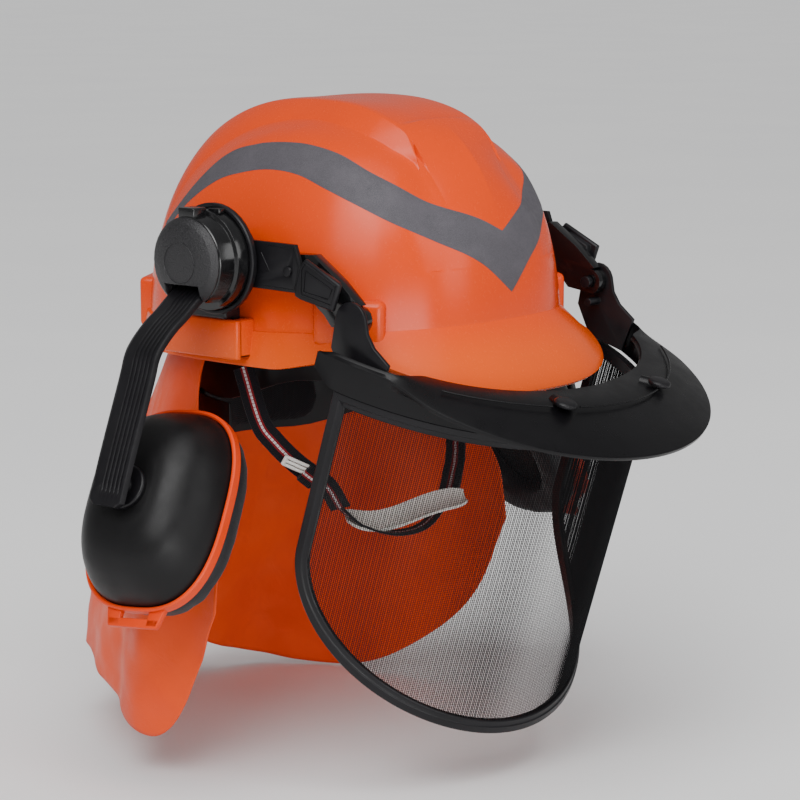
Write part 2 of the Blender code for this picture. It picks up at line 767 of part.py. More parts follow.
def build_carrier(side, sign, slide):
    """The clip that slides along the arm's inner face and holds the cup's pivot."""
    down = Vector((sign * 0.341, 0, -0.940))
    inward = Vector((-sign * 0.940, 0, -0.341))
    face = Vector((sign * 0.2010, HUB_Y, -0.0508)) + inward * (ARM_THICKNESS + GAP)
    forward = Vector((0, 1, 0))
    rings = []
    for depth, grow in ((0.0, 0.0), (0.0012, 0.0), (0.0018, -0.0010)):
        middle = face + inward * depth
        a, b = forward * (0.0070 + grow), down * (0.0080 + grow)
        rings.append([middle - a - b, middle + a - b, middle + a + b, middle - a + b])
    origin = tuple(slide.world)
    add_object(f"cup_carrier_{side}", skin(rings, origin), BLACK_PLASTIC, origin, slide)


def build_arm(side, sign, hinge):
    points = spline([Vector((sign * x, HUB_Y, z)) for x, z in ARM_ROUTE], 24)
    last = (points[-1] - points[-2]).normalized()
    first = (points[0] - points[1]).normalized()
    points = [points[0] + first * 0.0005] + points + [points[-1] + last * 0.0015]
    rings = []
    count = len(points)
    across = Vector((0, 1, 0))
    for i, point in enumerate(points):
        ahead = (points[min(i + 1, count - 1)] - points[max(i - 1, 0)]).normalized()
        inward = ahead.cross(across)
        if inward.x * sign > 0:
            inward = -inward
        half = ARM_WIDTH / 2 - (0.0025 if i in (0, count - 1) else 0.0)
        back = point + inward * ARM_THICKNESS
        lip = 0.0012
        rings.append(
            [
                point - across * (half - lip), point + across * (half - lip),
                point + across * half + inward * lip,
                back + across * half, back - across * half, point - across * half + inward * lip,
            ]
        )
    origin = tuple(hinge.world)
    add_object(f"muff_arm_{side}", skin(rings, origin), BLACK_PLASTIC, origin, hinge, sharp=30)


def build_cup(side, frame, tilt):
    sections = (
        (1.000, 0.000), (0.975, 0.006), (0.930, 0.012), (0.860, 0.018), (0.760, 0.024), (0.640, 0.029),
        (0.480, 0.0325), (0.330, CUP_DEPTH),
    )
    outer = [frame.oval(CUP_HALF_WIDTH * s, CUP_HALF_HEIGHT * s, d) for s, d in sections]
    inner = [
        frame.oval(CUP_HALF_WIDTH * s - 0.0024, CUP_HALF_HEIGHT * s - 0.0024, max(d - 0.0022, 0.0))
        for s, d in reversed(sections[:1] + sections[2:])
    ]
    origin = tuple(tilt.world)
    add_object(f"cup_shell_{side}", cup_shell_mesh(outer, inner, origin), SATIN_PLASTIC, origin, tilt)
    build_cup_ring(side, frame, tilt)
    cushion = [
        frame.oval(0.0410, 0.0550, -0.0038), frame.oval(0.0418, 0.0558, -0.008),
        frame.oval(0.0405, 0.0545, -0.015), frame.oval(0.0360, 0.0500, -CUSHION_THICKNESS - 0.0015),
        frame.oval(0.0285, 0.0425, -CUSHION_THICKNESS - 0.0015), frame.oval(0.0240, 0.0380, -0.015),
        frame.oval(0.0230, 0.0370, -0.0038),
    ]
    add_object(f"ear_cushion_{side}", tube_mesh(cushion, origin), CUSHION_SKIN, origin, tilt)
    liner = [frame.oval(0.0340, 0.0480, 0.0020, 20), frame.oval(0.0310, 0.0450, 0.0130, 20)]
    add_object(f"foam_liner_{side}", skin(liner, origin), FOAM, origin, tilt)
    turned(
        f"cup_pivot_{side}",
        (
            (0.0, 0.0042), (0.0045, 0.0042), (0.0050, 0.0037), (0.0060, 0.0032), (0.0116, 0.0030),
            (0.0125, 0.0022), (0.0125, 0.0), (0.0, 0.0),
        ),
        frame.at(0, 0, CUP_DEPTH + GAP), tuple(frame.out), BLACK_PLASTIC, tilt, steps=24,
    )


def cup_shell_mesh(outer, inner, origin):
    """A deep dish: outer wall, floor, inner wall, joined at the rim."""
    bm = bmesh.new()
    base = Vector(origin)
    rows = [[bm.verts.new(Vector(p) - base) for p in ring] for ring in outer]
    inside = [[bm.verts.new(Vector(p) - base) for p in ring] for ring in inner]
    for group in (rows, inside):
        for a, b in zip(group, group[1:]):
            for i in range(len(a)):
                j = (i + 1) % len(a)
                bm.faces.new((a[i], a[j], b[j], b[i]))
    bm.faces.new(rows[-1])
    bm.faces.new(inside[0])
    for i in range(len(rows[0])):
        j = (i + 1) % len(rows[0])
        bm.faces.new((rows[0][i], rows[0][j], inside[-1][j], inside[-1][i]))
    return mesh_from(bm)


def tube_mesh(rings, origin):
    """A ring-shaped solid whose section runs through the given ovals in turn."""
    return skin([list(r) for r in rings], origin, closed=True)


def build_cup_ring(side, frame, tilt):
    rings = [
        frame.oval(0.0448, 0.0588, -0.0033), frame.oval(0.0448, 0.0588, 0.0030),
        frame.oval(0.0425, 0.0565, 0.0030), frame.oval(0.0425, 0.0565, -0.0003),
        frame.oval(0.0380, 0.0520, -0.0003), frame.oval(0.0380, 0.0520, -0.0033),
    ]
    origin = tuple(tilt.world)
    ring = add_object(f"cup_ring_{side}", tube_mesh(rings, origin), ORANGE_TRIM, origin, tilt)
    outline = ((-0.019, -0.0570), (0.019, -0.0570), (0.016, -0.0665), (-0.016, -0.0665))
    tab = [[frame.at(f, u, o) for f, u in outline] for o in (-0.0030, 0.0002)]
    guide = add_object(f"tab_guide_{side}", skin(tab, origin), ORANGE_TRIM, origin)
    boolean(ring, guide, "UNION")


# ---------------------------------------------------------------- visor


def visor_point(angle, radius, down):
    """World point from the visor cylinder: angle 0 is the front, down runs along its axis."""
    forward = Vector((0, -math.cos(VISOR_TILT), -math.sin(VISOR_TILT)))
    axis = Vector((0, math.sin(VISOR_TILT), -math.cos(VISOR_TILT)))
    top = Vector((0, VISOR_TOP_Y, VISOR_TOP_Z))
    across = Vector((1, 0, 0))
    return top + across * radius * math.sin(angle) + forward * radius * math.cos(angle) + axis * down


def visor_outline(count):
    """Closed outline of the visor as (angle, down): along the top, then round the lower edge."""
    a = VISOR_HALF_ANGLE
    drop = VISOR_LENGTH - VISOR_SIDE_LENGTH
    power = 2 / VISOR_CURVE_POWER
    points = [(-a + 2 * a * i / 14, 0.0) for i in range(14)]
    points += [(a, VISOR_SIDE_LENGTH * i / 4) for i in range(4)]
    for i in range(count + 1):
        t = math.pi * i / count
        down = VISOR_SIDE_LENGTH + drop * abs(math.sin(t)) ** power
        points.append((a * signed_power(math.cos(t), power), down))
    points += [(-a, VISOR_SIDE_LENGTH * (4 - i) / 4) for i in range(1, 4)]
    return points


def inner_outline(outline, width):
    """The outline moved inwards over the cylinder by width."""
    moved = []
    count = len(outline)
    for i, (angle, down) in enumerate(outline):
        before, after = outline[i - 1], outline[(i + 1) % count]
        first = Vector(((angle - before[0]) * VISOR_RADIUS, down - before[1])).normalized()
        second = Vector(((after[0] - angle) * VISOR_RADIUS, after[1] - down)).normalized()
        along = (first + second).normalized()
        inward = Vector((-along.y, along.x)) * width / max(along.dot(first), 0.5)
        moved.append((angle + inward.x / VISOR_RADIUS, down + inward.y))
    return moved


def build_visor_frame(tilt):
    outline = visor_outline(24)
    rings = []
    low, high = VISOR_RADIUS - FRAME_THICKNESS, VISOR_RADIUS
    for (angle, down), (inner_angle, inner_down) in zip(outline, inner_outline(outline, FRAME_WIDTH)):
        rings.append(
            [
                visor_point(angle, low, down), visor_point(angle, high, down),
                visor_point(inner_angle, high, inner_down), visor_point(inner_angle, low, inner_down),
            ]
        )
    origin = tuple(tilt.world)
    add_object("visor_frame", skin(rings, origin, closed=True), BLACK_PLASTIC, origin, tilt)


def build_screen(tilt):
    """The woven screen as a thin curved sheet inside the frame."""
    origin = tuple(tilt.world)
    columns, rows = 24, 8
    edge = inner_outline(visor_outline(48), FRAME_WIDTH + 0.0007)
    lower = sorted((angle, down) for angle, down in edge if down > 0.03)
    reach = VISOR_HALF_ANGLE - (FRAME_WIDTH + 0.0007) / VISOR_RADIUS
    top = FRAME_WIDTH + 0.0007
    bm = bmesh.new()
    grid = []
    for r in range(rows + 1):
        line = []
        for c in range(columns + 1):
            angle = -reach * math.cos(math.pi * c / columns)
            if c in (0, columns):
                bottom = VISOR_SIDE_LENGTH
            else:
                bottom = interpolate(lower, angle)
            down = top + (bottom - top) * r / rows
            place = visor_point(angle, VISOR_RADIUS - FRAME_THICKNESS / 2, down)
            line.append(bm.verts.new(place - Vector(origin)))
        grid.append(line)
    for r in range(rows):
        for c in range(columns):
            bm.faces.new((grid[r][c], grid[r][c + 1], grid[r + 1][c + 1], grid[r + 1][c]))
    screen = add_object("visor_screen", mesh_from(bm), SCREEN_WIRE, origin, tilt)
    sheet = screen.modifiers.new("sheet", "SOLIDIFY")
    sheet.thickness = SCREEN_THICKNESS
    sheet.offset = 0.0


def peak_reach(angle):
    """How far the browguard's peak stands out from the visor's centre line at a bearing."""
    low, high = 0.0, 0.25
    for _ in range(40):
        r = (low + high) / 2
        x, q = r * math.sin(abs(angle)), r * math.cos(angle) - PEAK_CENTRE
        inside = (x / PEAK_HALF_WIDTH) ** 2 + (max(q, 0) / (PEAK_TIP - PEAK_CENTRE)) ** 2
        if inside < 1:
            low = r
        else:
            high = r
    return low


def build_browguard(tilt):
    """Side band, top ledge and crescent peak as one moulding, lofted round the front."""
    origin = tuple(tilt.world)
    rings = []
    count = 41
    wall = VISOR_RADIUS + GAP
    skin_depth = 0.0026
    top = -0.021
    for i in range(count):
        angle = math.radians(-85.7 + 171.4 * i / (count - 1))
        turn = abs(math.degrees(angle))
        grow = 1.0 - smoothstep(52, 76, turn)
        end = smoothstep(76, 85.7, turn)
        reach = wall + skin_depth + max(peak_reach(angle) - wall - skin_depth, 0.0) * grow
        lip_down = -0.0085 - 0.021 * (1 - math.cos(angle))
        ledge = 0.011 * (1.0 - smoothstep(57, 65, turn)) + 0.009 * (1.0 - smoothstep(5, 57, turn))
        edge_down = top + (lip_down - top) * grow
        foot = -0.0010 - 0.0075 * end**3
        rings.append(
            [
                visor_point(angle, wall, foot),
                visor_point(angle, wall + skin_depth, foot),
                visor_point(angle, wall + skin_depth, top + 0.0060 + 0.0050 * grow),
                visor_point(angle, reach - 0.0006 * grow, edge_down + 0.0050),
                visor_point(angle, reach, edge_down + 0.0030),
                visor_point(angle, wall + 0.0021, top + 0.0012),
                visor_point(angle, wall + 0.0008 - ledge, top),
                visor_point(angle, wall - ledge, top + 0.0028),
                visor_point(angle, wall, top + 0.0044),
            ]
        )
    add_object("browguard", skin(rings, origin), BLACK_PLASTIC, origin, tilt, sharp=35)
    up = Vector((0, -math.sin(VISOR_TILT), math.cos(VISOR_TILT)))
    for side, sign in (("right", -1), ("left", 1)):
        turned(
            f"browguard_stud_{side}",
            ((0.0, 0.0030), (0.0050, 0.0028), (0.0065, 0.0018), (0.0065, 0.0), (0.0, 0.0)),
            visor_point(sign * STUD_ANGLE, wall + 0.0022, top - GAP), tuple(up), BLACK_PLASTIC, tilt,
            steps=20,
        )


def drill(target, name, sign, place, radius):
    """Cut a round hole across target, along X, at place (y, z)."""
    cutter = turned(
        name, ((0.0, 0.040), (radius, 0.040), (radius, 0.0), (0.0, 0.0)),
        (sign * 0.090, place[0], place[1]), (sign, 0, 0), BLACK_PLASTIC, steps=20,
    )
    boolean(target, cutter, "DIFFERENCE")


def build_visor_side(side, sign, lift, tilt):
    plate_outline = [(-0.0585, 0.0452), (-0.0620, 0.0598), (-0.0577, 0.0712), (-0.0200, 0.0716)]
    plate_outline += arc((HUB_Y, HUB_Z), 0.0215, 140, -140, 15)
    plate_outline += [(-0.0200, 0.0458)]
    bracket = plate(
        f"visor_bracket_{side}", list(reversed(plate_outline)), sign * 0.1111, sign * 0.1138, BLACK_PLASTIC,
        (sign * 0.1124, HUB_Y, HUB_Z),
    )
    drill(bracket, f"spigot_hole_guide_{side}", sign, (HUB_Y, HUB_Z), 0.0154)
    pivot = LIFT_PIVOT[1:]
    drill(bracket, f"rivet_hole_guide_{side}", sign, pivot, 0.0022)
    turned(
        f"visor_rivet_{side}",
        (
            (0.0, 0.0140), (0.0024, 0.0140), (0.0028, 0.0137), (0.0028, 0.0132), (0.0018, 0.0132),
            (0.0018, 0.0), (0.0, 0.0),
        ),
        (sign * 0.1010, pivot[0], pivot[1]), (sign, 0, 0), BLACK_PLASTIC, steps=20,
    )
    hinge = TILT_PIVOT[1:]
    bar = arc(pivot, 0.0095, -115, 75, 8)
    bar += [(-0.0667, 0.0660), (-0.0859, 0.0530), (-0.0990, 0.0413)]
    bar += arc(hinge, 0.0075, 95, 250, 7)
    bar += [(-0.0800, 0.0285), (-0.0749, 0.0343)]
    link = plate(
        f"visor_link_{side}", bar, sign * 0.1024, sign * 0.1094, BLACK_GLOSS,
        (sign * 0.1060, pivot[0], pivot[1]), lift,
    )
    drill(link, f"link_rivet_guide_{side}", sign, pivot, 0.0022)
    drill(link, f"link_pin_guide_{side}", sign, hinge, 0.0026)
    clip_outline = [(-0.0605, 0.0440), (-0.0606, 0.0483), (-0.0643, 0.0605), (-0.0683, 0.0648)]
    clip_outline += [(-0.0929, 0.0527), (-0.0877, 0.0380), (-0.0644, 0.0425)]
    clip = plate(
        f"visor_clip_{side}", clip_outline, sign * 0.1141, sign * 0.1175, BLACK_PLASTIC,
        (sign * 0.1141, pivot[0], pivot[1]), lift, bevel=0.0008,
    )
    neck_outline = [(-0.0735, 0.0465), (-0.0735, 0.0600), (-0.0880, 0.0530), (-0.0870, 0.0470)]
    neck = plate(
        f"clip_neck_guide_{side}", neck_outline, sign * 0.1098, sign * 0.1150, BLACK_PLASTIC,
        (sign * 0.1141, pivot[0], pivot[1]),
    )
    boolean(clip, neck, "UNION")
    build_leaf(side, sign, hinge, tilt)


def build_leaf(side, sign, hinge, tilt):
    """The side arm of the visor with its hinge pin and its stop pin."""
    outline = arc(hinge, 0.0105, 15, 165, 9)
    outline += [(-0.1075, 0.0270), (-0.1120, 0.0200), (-0.1222, 0.0118), (-0.1140, -0.0075)]
    outline += [(-0.0905, -0.0002), (-0.0820, 0.0180)]
    leaf = plate(
        f"visor_leaf_{side}", outline, sign * 0.1098, sign * 0.1122, BLACK_PLASTIC,
        (sign * 0.1110, hinge[0], hinge[1]), tilt,
    )
    head = turned(
        f"pin_guide_{side}",
        ((0.0, 0.0135), (0.0022, 0.0135), (0.0022, 0.0040), (0.0034, 0.0040), (0.0034, 0.0), (0.0, 0.0)),
        (sign * 0.0978, hinge[0], hinge[1]), (sign, 0, 0), BLACK_PLASTIC, steps=16,
    )
    boolean(leaf, head, "UNION")
    stop = turned(
        f"stop_guide_{side}", ((0.0, 0.0110), (0.0024, 0.0110), (0.0024, 0.0), (0.0, 0.0)),
        (sign * 0.1000, hinge[0] - 0.0006, hinge[1] - 0.0120), (sign, 0, 0), BLACK_PLASTIC, steps=12,
    )
    boolean(leaf, stop, "UNION")


# ---------------------------------------------------------------- build


clear_scene()
PART = make_collection("forestry_helmet")
CUTTERS = make_collection("cutters")
SHELL_PAINT = material("shell_orange", ORANGE, 0.16)
TAPE = material("reflective_grey", (0.075, 0.072, 0.083), 0.45)
HARNESS_PLASTIC = material("harness_black", SOFT_BLACK, 0.45)
PAD_CLOTH = material("pad_cloth", (0.020, 0.020, 0.024), 0.9)
WEBBING = material("webbing", (0.018, 0.017, 0.022), 0.85)
BLACK_PLASTIC = material("black_plastic", BLACK, 0.42)
BLACK_GLOSS = material("black_gloss", SOFT_BLACK, 0.18)
TEXTURED_PLASTIC = material("textured_black", BLACK, 0.55)
SATIN_PLASTIC = material("cup_satin", SOFT_BLACK, 0.38)
ORANGE_TRIM = material("trim_orange", (0.79, 0.14, 0.02), 0.35)
CUSHION_SKIN = material("cushion_skin", (0.015, 0.014, 0.018), 0.6)
FOAM = material("liner_foam", (0.03, 0.03, 0.03), 0.95)
PALE_PLASTIC = material("pale_plastic", (0.72, 0.70, 0.66), 0.4)
CAPE_SHEET = material("cape_sheet", CAPE_ORANGE, 0.5)
SCREEN_WIRE = material("screen_wire", (0.012, 0.012, 0.014), 0.5)

shell_surface = build_shell()
build_tape(shell_surface)
build_suspension()
build_nape()
build_chin_strap()
build_cape()
for side_name, side_sign in (("right", -1), ("left", 1)):
    build_muff(side_name, side_sign)
lift_pivot = Pivot("visor_lift_axis", LIFT_PIVOT)
tilt_pivot = Pivot("visor_tilt_axis", TILT_PIVOT, lift_pivot)
for side_name, side_sign in (("right", -1), ("left", 1)):
    build_visor_side(side_name, side_sign, lift_pivot, tilt_pivot)
build_visor_frame(tilt_pivot)
build_screen(tilt_pivot)
build_browguard(tilt_pivot)
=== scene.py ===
"""Looks of the forestry helmet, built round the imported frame.

Metres, +Z up, the wearer faces -Y and the wearer's left is +X.
The origin is the middle of the head opening, in the plane of the shell's side rim.
"""

import json
import math

import bmesh
import bpy
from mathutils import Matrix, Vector, noise
from mathutils.bvhtree import BVHTree


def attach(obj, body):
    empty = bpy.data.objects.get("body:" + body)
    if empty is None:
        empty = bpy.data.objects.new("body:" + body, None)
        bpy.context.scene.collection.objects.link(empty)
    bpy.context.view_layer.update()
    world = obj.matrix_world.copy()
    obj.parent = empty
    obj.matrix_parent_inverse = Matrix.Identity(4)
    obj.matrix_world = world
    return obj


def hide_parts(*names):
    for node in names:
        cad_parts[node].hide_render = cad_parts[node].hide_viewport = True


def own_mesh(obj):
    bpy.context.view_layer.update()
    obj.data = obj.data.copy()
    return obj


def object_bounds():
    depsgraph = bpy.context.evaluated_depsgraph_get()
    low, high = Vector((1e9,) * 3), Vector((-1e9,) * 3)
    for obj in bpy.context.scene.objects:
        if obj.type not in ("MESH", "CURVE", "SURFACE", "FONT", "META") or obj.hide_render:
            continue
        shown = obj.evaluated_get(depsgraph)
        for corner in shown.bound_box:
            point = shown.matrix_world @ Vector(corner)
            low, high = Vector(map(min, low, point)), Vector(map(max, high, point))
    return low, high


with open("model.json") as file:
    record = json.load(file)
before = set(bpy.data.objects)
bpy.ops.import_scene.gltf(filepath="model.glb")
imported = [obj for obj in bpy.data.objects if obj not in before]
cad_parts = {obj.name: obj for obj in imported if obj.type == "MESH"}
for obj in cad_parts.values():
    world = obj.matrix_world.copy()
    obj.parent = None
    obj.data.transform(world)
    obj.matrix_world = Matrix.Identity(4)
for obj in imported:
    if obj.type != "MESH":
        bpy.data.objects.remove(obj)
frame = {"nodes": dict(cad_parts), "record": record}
CAD_LOW, CAD_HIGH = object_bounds()
NODES = frame["nodes"]
SLOT_OF = {s["node"]: s["material_slot"] for s in frame["record"]["subparts"]}
BODY_OF = {n: body for body, names in frame["record"]["behaviour"]["bodies"].items() for n in names}
SIDES = (("right", -1), ("left", 1))


# ---------------------------------------------------------------- numbers and curves


def smoothstep(low, high, value):
    t = min(max((value - low) / (high - low), 0.0), 1.0)
    return t * t * (3.0 - 2.0 * t)


def clamp(value, low=0.0, high=1.0):
    return min(max(value, low), high)


def signed_power(value, power):
    return math.copysign(abs(value) ** power, value)


def interpolate(points, value):
    """Piecewise linear value from (x, y) points in rising x."""
    if value <= points[0][0]:
        return points[0][1]
    for (x0, y0), (x1, y1) in zip(points, points[1:]):
        if value <= x1:
            return y0 + (y1 - y0) * (value - x0) / (x1 - x0)
    return points[-1][1]


def spline(points, count):
    """Points at even parameter steps along a Catmull-Rom curve through the given ones."""
    pts = [Vector(p) for p in points]
    pts = [2 * pts[0] - pts[1]] + pts + [2 * pts[-1] - pts[-2]]
    spans = len(pts) - 3
    result = []
    for i in range(count):
        s = i / (count - 1) * spans
        k = min(int(s), spans - 1)
        t = s - k
        a, b, c, d = pts[k : k + 4]
        curve = (2 * a - 5 * b + 4 * c - d) * t**2 + (3 * b - a - 3 * c + d) * t**3
        result.append(0.5 * (2 * b + (c - a) * t + curve))
    return result


def smooth_rows(rows, count):
    """The (x, y) pairs of rows drawn through by a smooth curve."""
    return [(p.x, p.y) for p in spline([(x, y, 0.0) for x, y in rows], count)]


# ---------------------------------------------------------------- materials


class Look:
    """A node material built up from a Principled shader."""

    def __init__(self, name, colour, rough, sheen=0.0, specular=0.5):
        self.material = bpy.data.materials.new(name)
        self.material.use_nodes = True
        self.tree = self.material.node_tree
        self.shader = self.tree.nodes["Principled BSDF"]
        self.set("Base Color", (*colour, 1.0))
        self.set("Roughness", rough)
        self.set("Sheen Weight", sheen)
        self.set("Specular IOR Level", specular)
        self.material.diffuse_color = (*colour, 1.0)
        self.normal = None
        self.coord = self.tree.nodes.new("ShaderNodeTexCoord")

    def set(self, socket, value):
        self.shader.inputs[socket].default_value = value

    def join(self, source, target):
        self.tree.links.new(source, target)

    def math(self, operation, a, b=None):
        step = self.tree.nodes.new("ShaderNodeMath")
        step.operation = operation
        for socket, value in zip(step.inputs, (a, b)):
            if value is None:
                continue
            if isinstance(value, (int, float)):
                socket.default_value = value
            else:
                self.join(value, socket)
        return step.outputs[0]

    def noise(self, scale, detail=3.0, rough=0.5, where="Object", distortion=0.0):
        step = self.tree.nodes.new("ShaderNodeTexNoise")
        step.inputs["Scale"].default_value = scale
        step.inputs["Detail"].default_value = detail
        step.inputs["Roughness"].default_value = rough
        step.inputs["Distortion"].default_value = distortion
        self.join(self.coord.outputs[where], step.inputs["Vector"])
        return step.outputs[0]

    def cells(self, scale, where="Object"):
        step = self.tree.nodes.new("ShaderNodeTexVoronoi")
        step.inputs["Scale"].default_value = scale
        self.join(self.coord.outputs[where], step.inputs["Vector"])
        return step.outputs["Distance"]

    def axis(self, letter, where="Object"):
        step = self.tree.nodes.new("ShaderNodeSeparateXYZ")
        self.join(self.coord.outputs[where], step.inputs[0])
        return step.outputs[letter]

    def ranged(self, value, low, high, to_low, to_high):
        step = self.tree.nodes.new("ShaderNodeMapRange")
        step.interpolation_type = "SMOOTHSTEP"
        limits = {"From Min": low, "From Max": high, "To Min": to_low, "To Max": to_high}
        for name, number in limits.items():
            step.inputs[name].default_value = number
        self.join(value, step.inputs["Value"])
        return step.outputs[0]

    def mix(self, share, first, second):
        step = self.tree.nodes.new("ShaderNodeMix")
        step.data_type = "RGBA"
        self.join(share, step.inputs["Factor"])
        sockets = [s for s in step.inputs if s.type == "RGBA"]
        for socket, value in zip(sockets, (first, second)):
            if isinstance(value, tuple):
                socket.default_value = (*value, 1.0)
            else:
                self.join(value, socket)
        return [s for s in step.outputs if s.type == "RGBA"][0]

    def colour(self, source):
        self.join(source, self.shader.inputs["Base Color"])
        return self

    def rough(self, source):
        self.join(source, self.shader.inputs["Roughness"])
        return self

    def bump(self, height, strength, distance=0.001):
        step = self.tree.nodes.new("ShaderNodeBump")
        step.inputs["Strength"].default_value = strength
        step.inputs["Distance"].default_value = distance
        self.join(height, step.inputs["Height"])
        if self.normal is not None:
            self.join(self.normal, step.inputs["Normal"])
        self.normal = step.outputs[0]
        self.join(self.normal, self.shader.inputs["Normal"])
        return self


def shade(colour, factor):
    return tuple(c * factor for c in colour)


def plastic(name, colour, rough, spread=0.06, grain=1800.0, depth=0.12, tone=0.18, specular=0.25):
    """Moulded plastic: fine grain, patchy gloss, faint handling marks and a slow change of tone."""
    look = Look(name, colour, rough, specular=specular)
    cloud = look.noise(26.0, 4.0)
    cloudy = look.ranged(cloud, 0.3, 0.7, 0.0, 1.0)
    look.colour(look.mix(cloudy, shade(colour, 1 - tone), shade(colour, 1 + tone)))
    patch = look.noise(70.0, 6.0, 0.65)
    look.rough(look.ranged(patch, 0.3, 0.72, max(rough - spread, 0.04), rough + spread))
    look.bump(look.noise(grain, 2.0), depth, 0.0002)
    look.bump(look.noise(45.0, 2.0), 0.05, 0.0006)
    return look.material


def shell_paint():
    """Glossy orange moulding, paler and warmer where the wall runs out into the skirt and peak."""
    main, pale = (0.64, 0.045, 0.0), (0.68, 0.078, 0.0030)
    look = Look("orange_shell", main, 0.26, specular=0.26)
    height = look.axis("Z")
    wash = look.mix(look.ranged(height, 0.004, 0.034, 1.0, 0.0), main, pale)
    cloud = look.noise(9.0, 3.0)
    wash = look.mix(look.ranged(cloud, 0.35, 0.75, 0.0, 0.22), wash, (0.58, 0.036, 0.0))
    look.colour(wash)
    scuff = look.noise(420.0, 5.0, 0.7, distortion=1.5)
    look.rough(look.ranged(scuff, 0.45, 0.8, 0.23, 0.34))
    look.bump(look.noise(30.0, 2.0), 0.05, 0.0008)
    look.bump(look.noise(900.0, 2.0), 0.03, 0.0002)
    return look.material


def tape_cloth():
    """Retro-reflective tape: dark grey film over glass beads, with painted bead sparkle (lighter bead
    centres in the colour) and mottling.
    """
    look = Look("reflective_tape", (0.080, 0.074, 0.084), 0.62, specular=0.22)
    beads = look.cells(2600.0)
    mottle = look.noise(60.0, 4.0)
    # painted highlight: the centre of each bead cell takes the lighter grey as bead sparkle; the mottle
    # below is random tone
    base = look.mix(look.ranged(beads, 0.05, 0.6, 0.0, 1.0), (0.108, 0.102, 0.114), (0.060, 0.056, 0.064))
    base = look.mix(look.ranged(mottle, 0.45, 0.7, 0.0, 0.35), base, (0.096, 0.088, 0.100))
    look.colour(base)
    look.rough(look.ranged(look.noise(300.0, 3.0), 0.3, 0.7, 0.54, 0.70))
    look.bump(beads, 0.10, 0.0002)
    return look.material


def woven(name, colour, second, pitch, rough=0.85, sheen=0.25, depth=0.5):
    """Plain weave or knit in object space."""
    look = Look(name, colour, rough, sheen=sheen, specular=0.15)
    scale = 2 * math.pi / pitch
    waves = []
    for letter in ("X", "Y", "Z"):
        waves.append(look.math("SINE", look.math("MULTIPLY", look.axis(letter), scale)))
    cross = look.math("MULTIPLY", look.math("ADD", waves[0], waves[1]), waves[2])
    fuzz = look.noise(1400.0, 3.0)
    look.colour(look.mix(look.ranged(look.math("ADD", cross, fuzz), -0.6, 1.6, 0.0, 1.0), second, colour))
    look.bump(cross, depth, 0.0003)
    look.bump(fuzz, 0.2, 0.0003)
    return look.material


def webbing_cloth():
    """Polyester webbing by UV: black with a red, white and red stripe, ribbed along its length."""
    black, red, white = (0.006, 0.0055, 0.008), (0.24, 0.010, 0.014), (0.66, 0.62, 0.63)
    look = Look("striped_webbing", black, 0.85, sheen=0.1, specular=0.15)
    across, along = look.axis("X", "UV"), look.axis("Y", "UV")
    off_centre = look.math("ABSOLUTE", look.math("SUBTRACT", across, 0.5))
    dash = look.math("SINE", look.math("MULTIPLY", along, 2 * math.pi / 0.0022))
    core = look.ranged(off_centre, 0.045, 0.065, 1.0, 0.0)
    white_part = look.math("MULTIPLY", core, look.ranged(dash, -0.9, -0.3, 0.35, 1.0))
    stripe = look.mix(look.ranged(off_centre, 0.140, 0.160, 1.0, 0.0), black, red)
    stripe = look.mix(white_part, stripe, white)
    fuzz = look.noise(1600.0, 3.0)
    look.colour(look.mix(look.ranged(fuzz, 0.3, 0.8, 0.0, 0.35), stripe, (0.004, 0.004, 0.005)))
    rib = look.math("SINE", look.math("MULTIPLY", along, 2 * math.pi / 0.0011))
    cord = look.math("SINE", look.math("MULTIPLY", across, 2 * math.pi * 13))
    look.bump(look.math("ADD", rib, look.math("MULTIPLY", cord, 0.7)), 0.55, 0.0003)
    look.bump(fuzz, 0.25, 0.0002)
    return look.material


def cape_cloth():
    """Coated rain cloth: bright orange with painted fold shade in broad darker patches, fine weave under
    the coating, soft creases.
    """
    colour, deep = (0.74, 0.062, 0.0020), (0.64, 0.044, 0.0008)
    look = Look("cape_cloth", colour, 0.52, sheen=0.06, specular=0.25)
    # painted shade: the darker orange laid in by the folds noise stands for shade in the cloth's folds
    folds = look.noise(14.0, 3.0, 0.5, distortion=0.6)
    look.colour(look.mix(look.ranged(folds, 0.35, 0.7, 0.0, 0.6), colour, deep))
    scale = 2 * math.pi / 0.0007
    weft = look.math("SINE", look.math("MULTIPLY", look.axis("Z"), scale))
    warp = look.math("SINE", look.math("MULTIPLY", look.math("ADD", look.axis("X"), look.axis("Y")), scale))
    look.bump(look.math("MULTIPLY", weft, warp), 0.18, 0.0002)
    look.bump(look.noise(38.0, 4.0, 0.6, distortion=0.8), 0.35, 0.0020)
    look.rough(look.ranged(look.noise(55.0, 4.0), 0.3, 0.7, 0.40, 0.56))
    return look.material


def cushion_skin():
    """Soft vinyl over foam, with fine leather grain and small puckers."""
    look = Look("cushion_vinyl", (0.008, 0.0075, 0.009), 0.5, sheen=0.05, specular=0.3)
    grain = look.cells(1500.0)
    look.bump(grain, 0.22, 0.0003)
    look.bump(look.noise(160.0, 5.0, 0.6), 0.25, 0.0008)
    look.rough(look.ranged(look.noise(90.0, 4.0), 0.3, 0.7, 0.42, 0.62))
    share = look.ranged(grain, 0.1, 0.6, 0.0, 1.0)
    look.colour(look.mix(share, (0.006, 0.0055, 0.007), (0.014, 0.013, 0.015)))
    return look.material


def foam():
    look = Look("acoustic_foam", (0.03, 0.03, 0.032), 0.95, sheen=0.1, specular=0.1)
    pores = look.cells(700.0)
    look.bump(pores, 0.9, 0.001)
    # painted shade: the pore pits take the dark colour and the pore rims the lighter one
    deep, raised = (0.010, 0.010, 0.011), (0.05, 0.05, 0.052)
    look.colour(look.mix(look.ranged(pores, 0.05, 0.5, 0.0, 1.0), deep, raised))
    return look.material


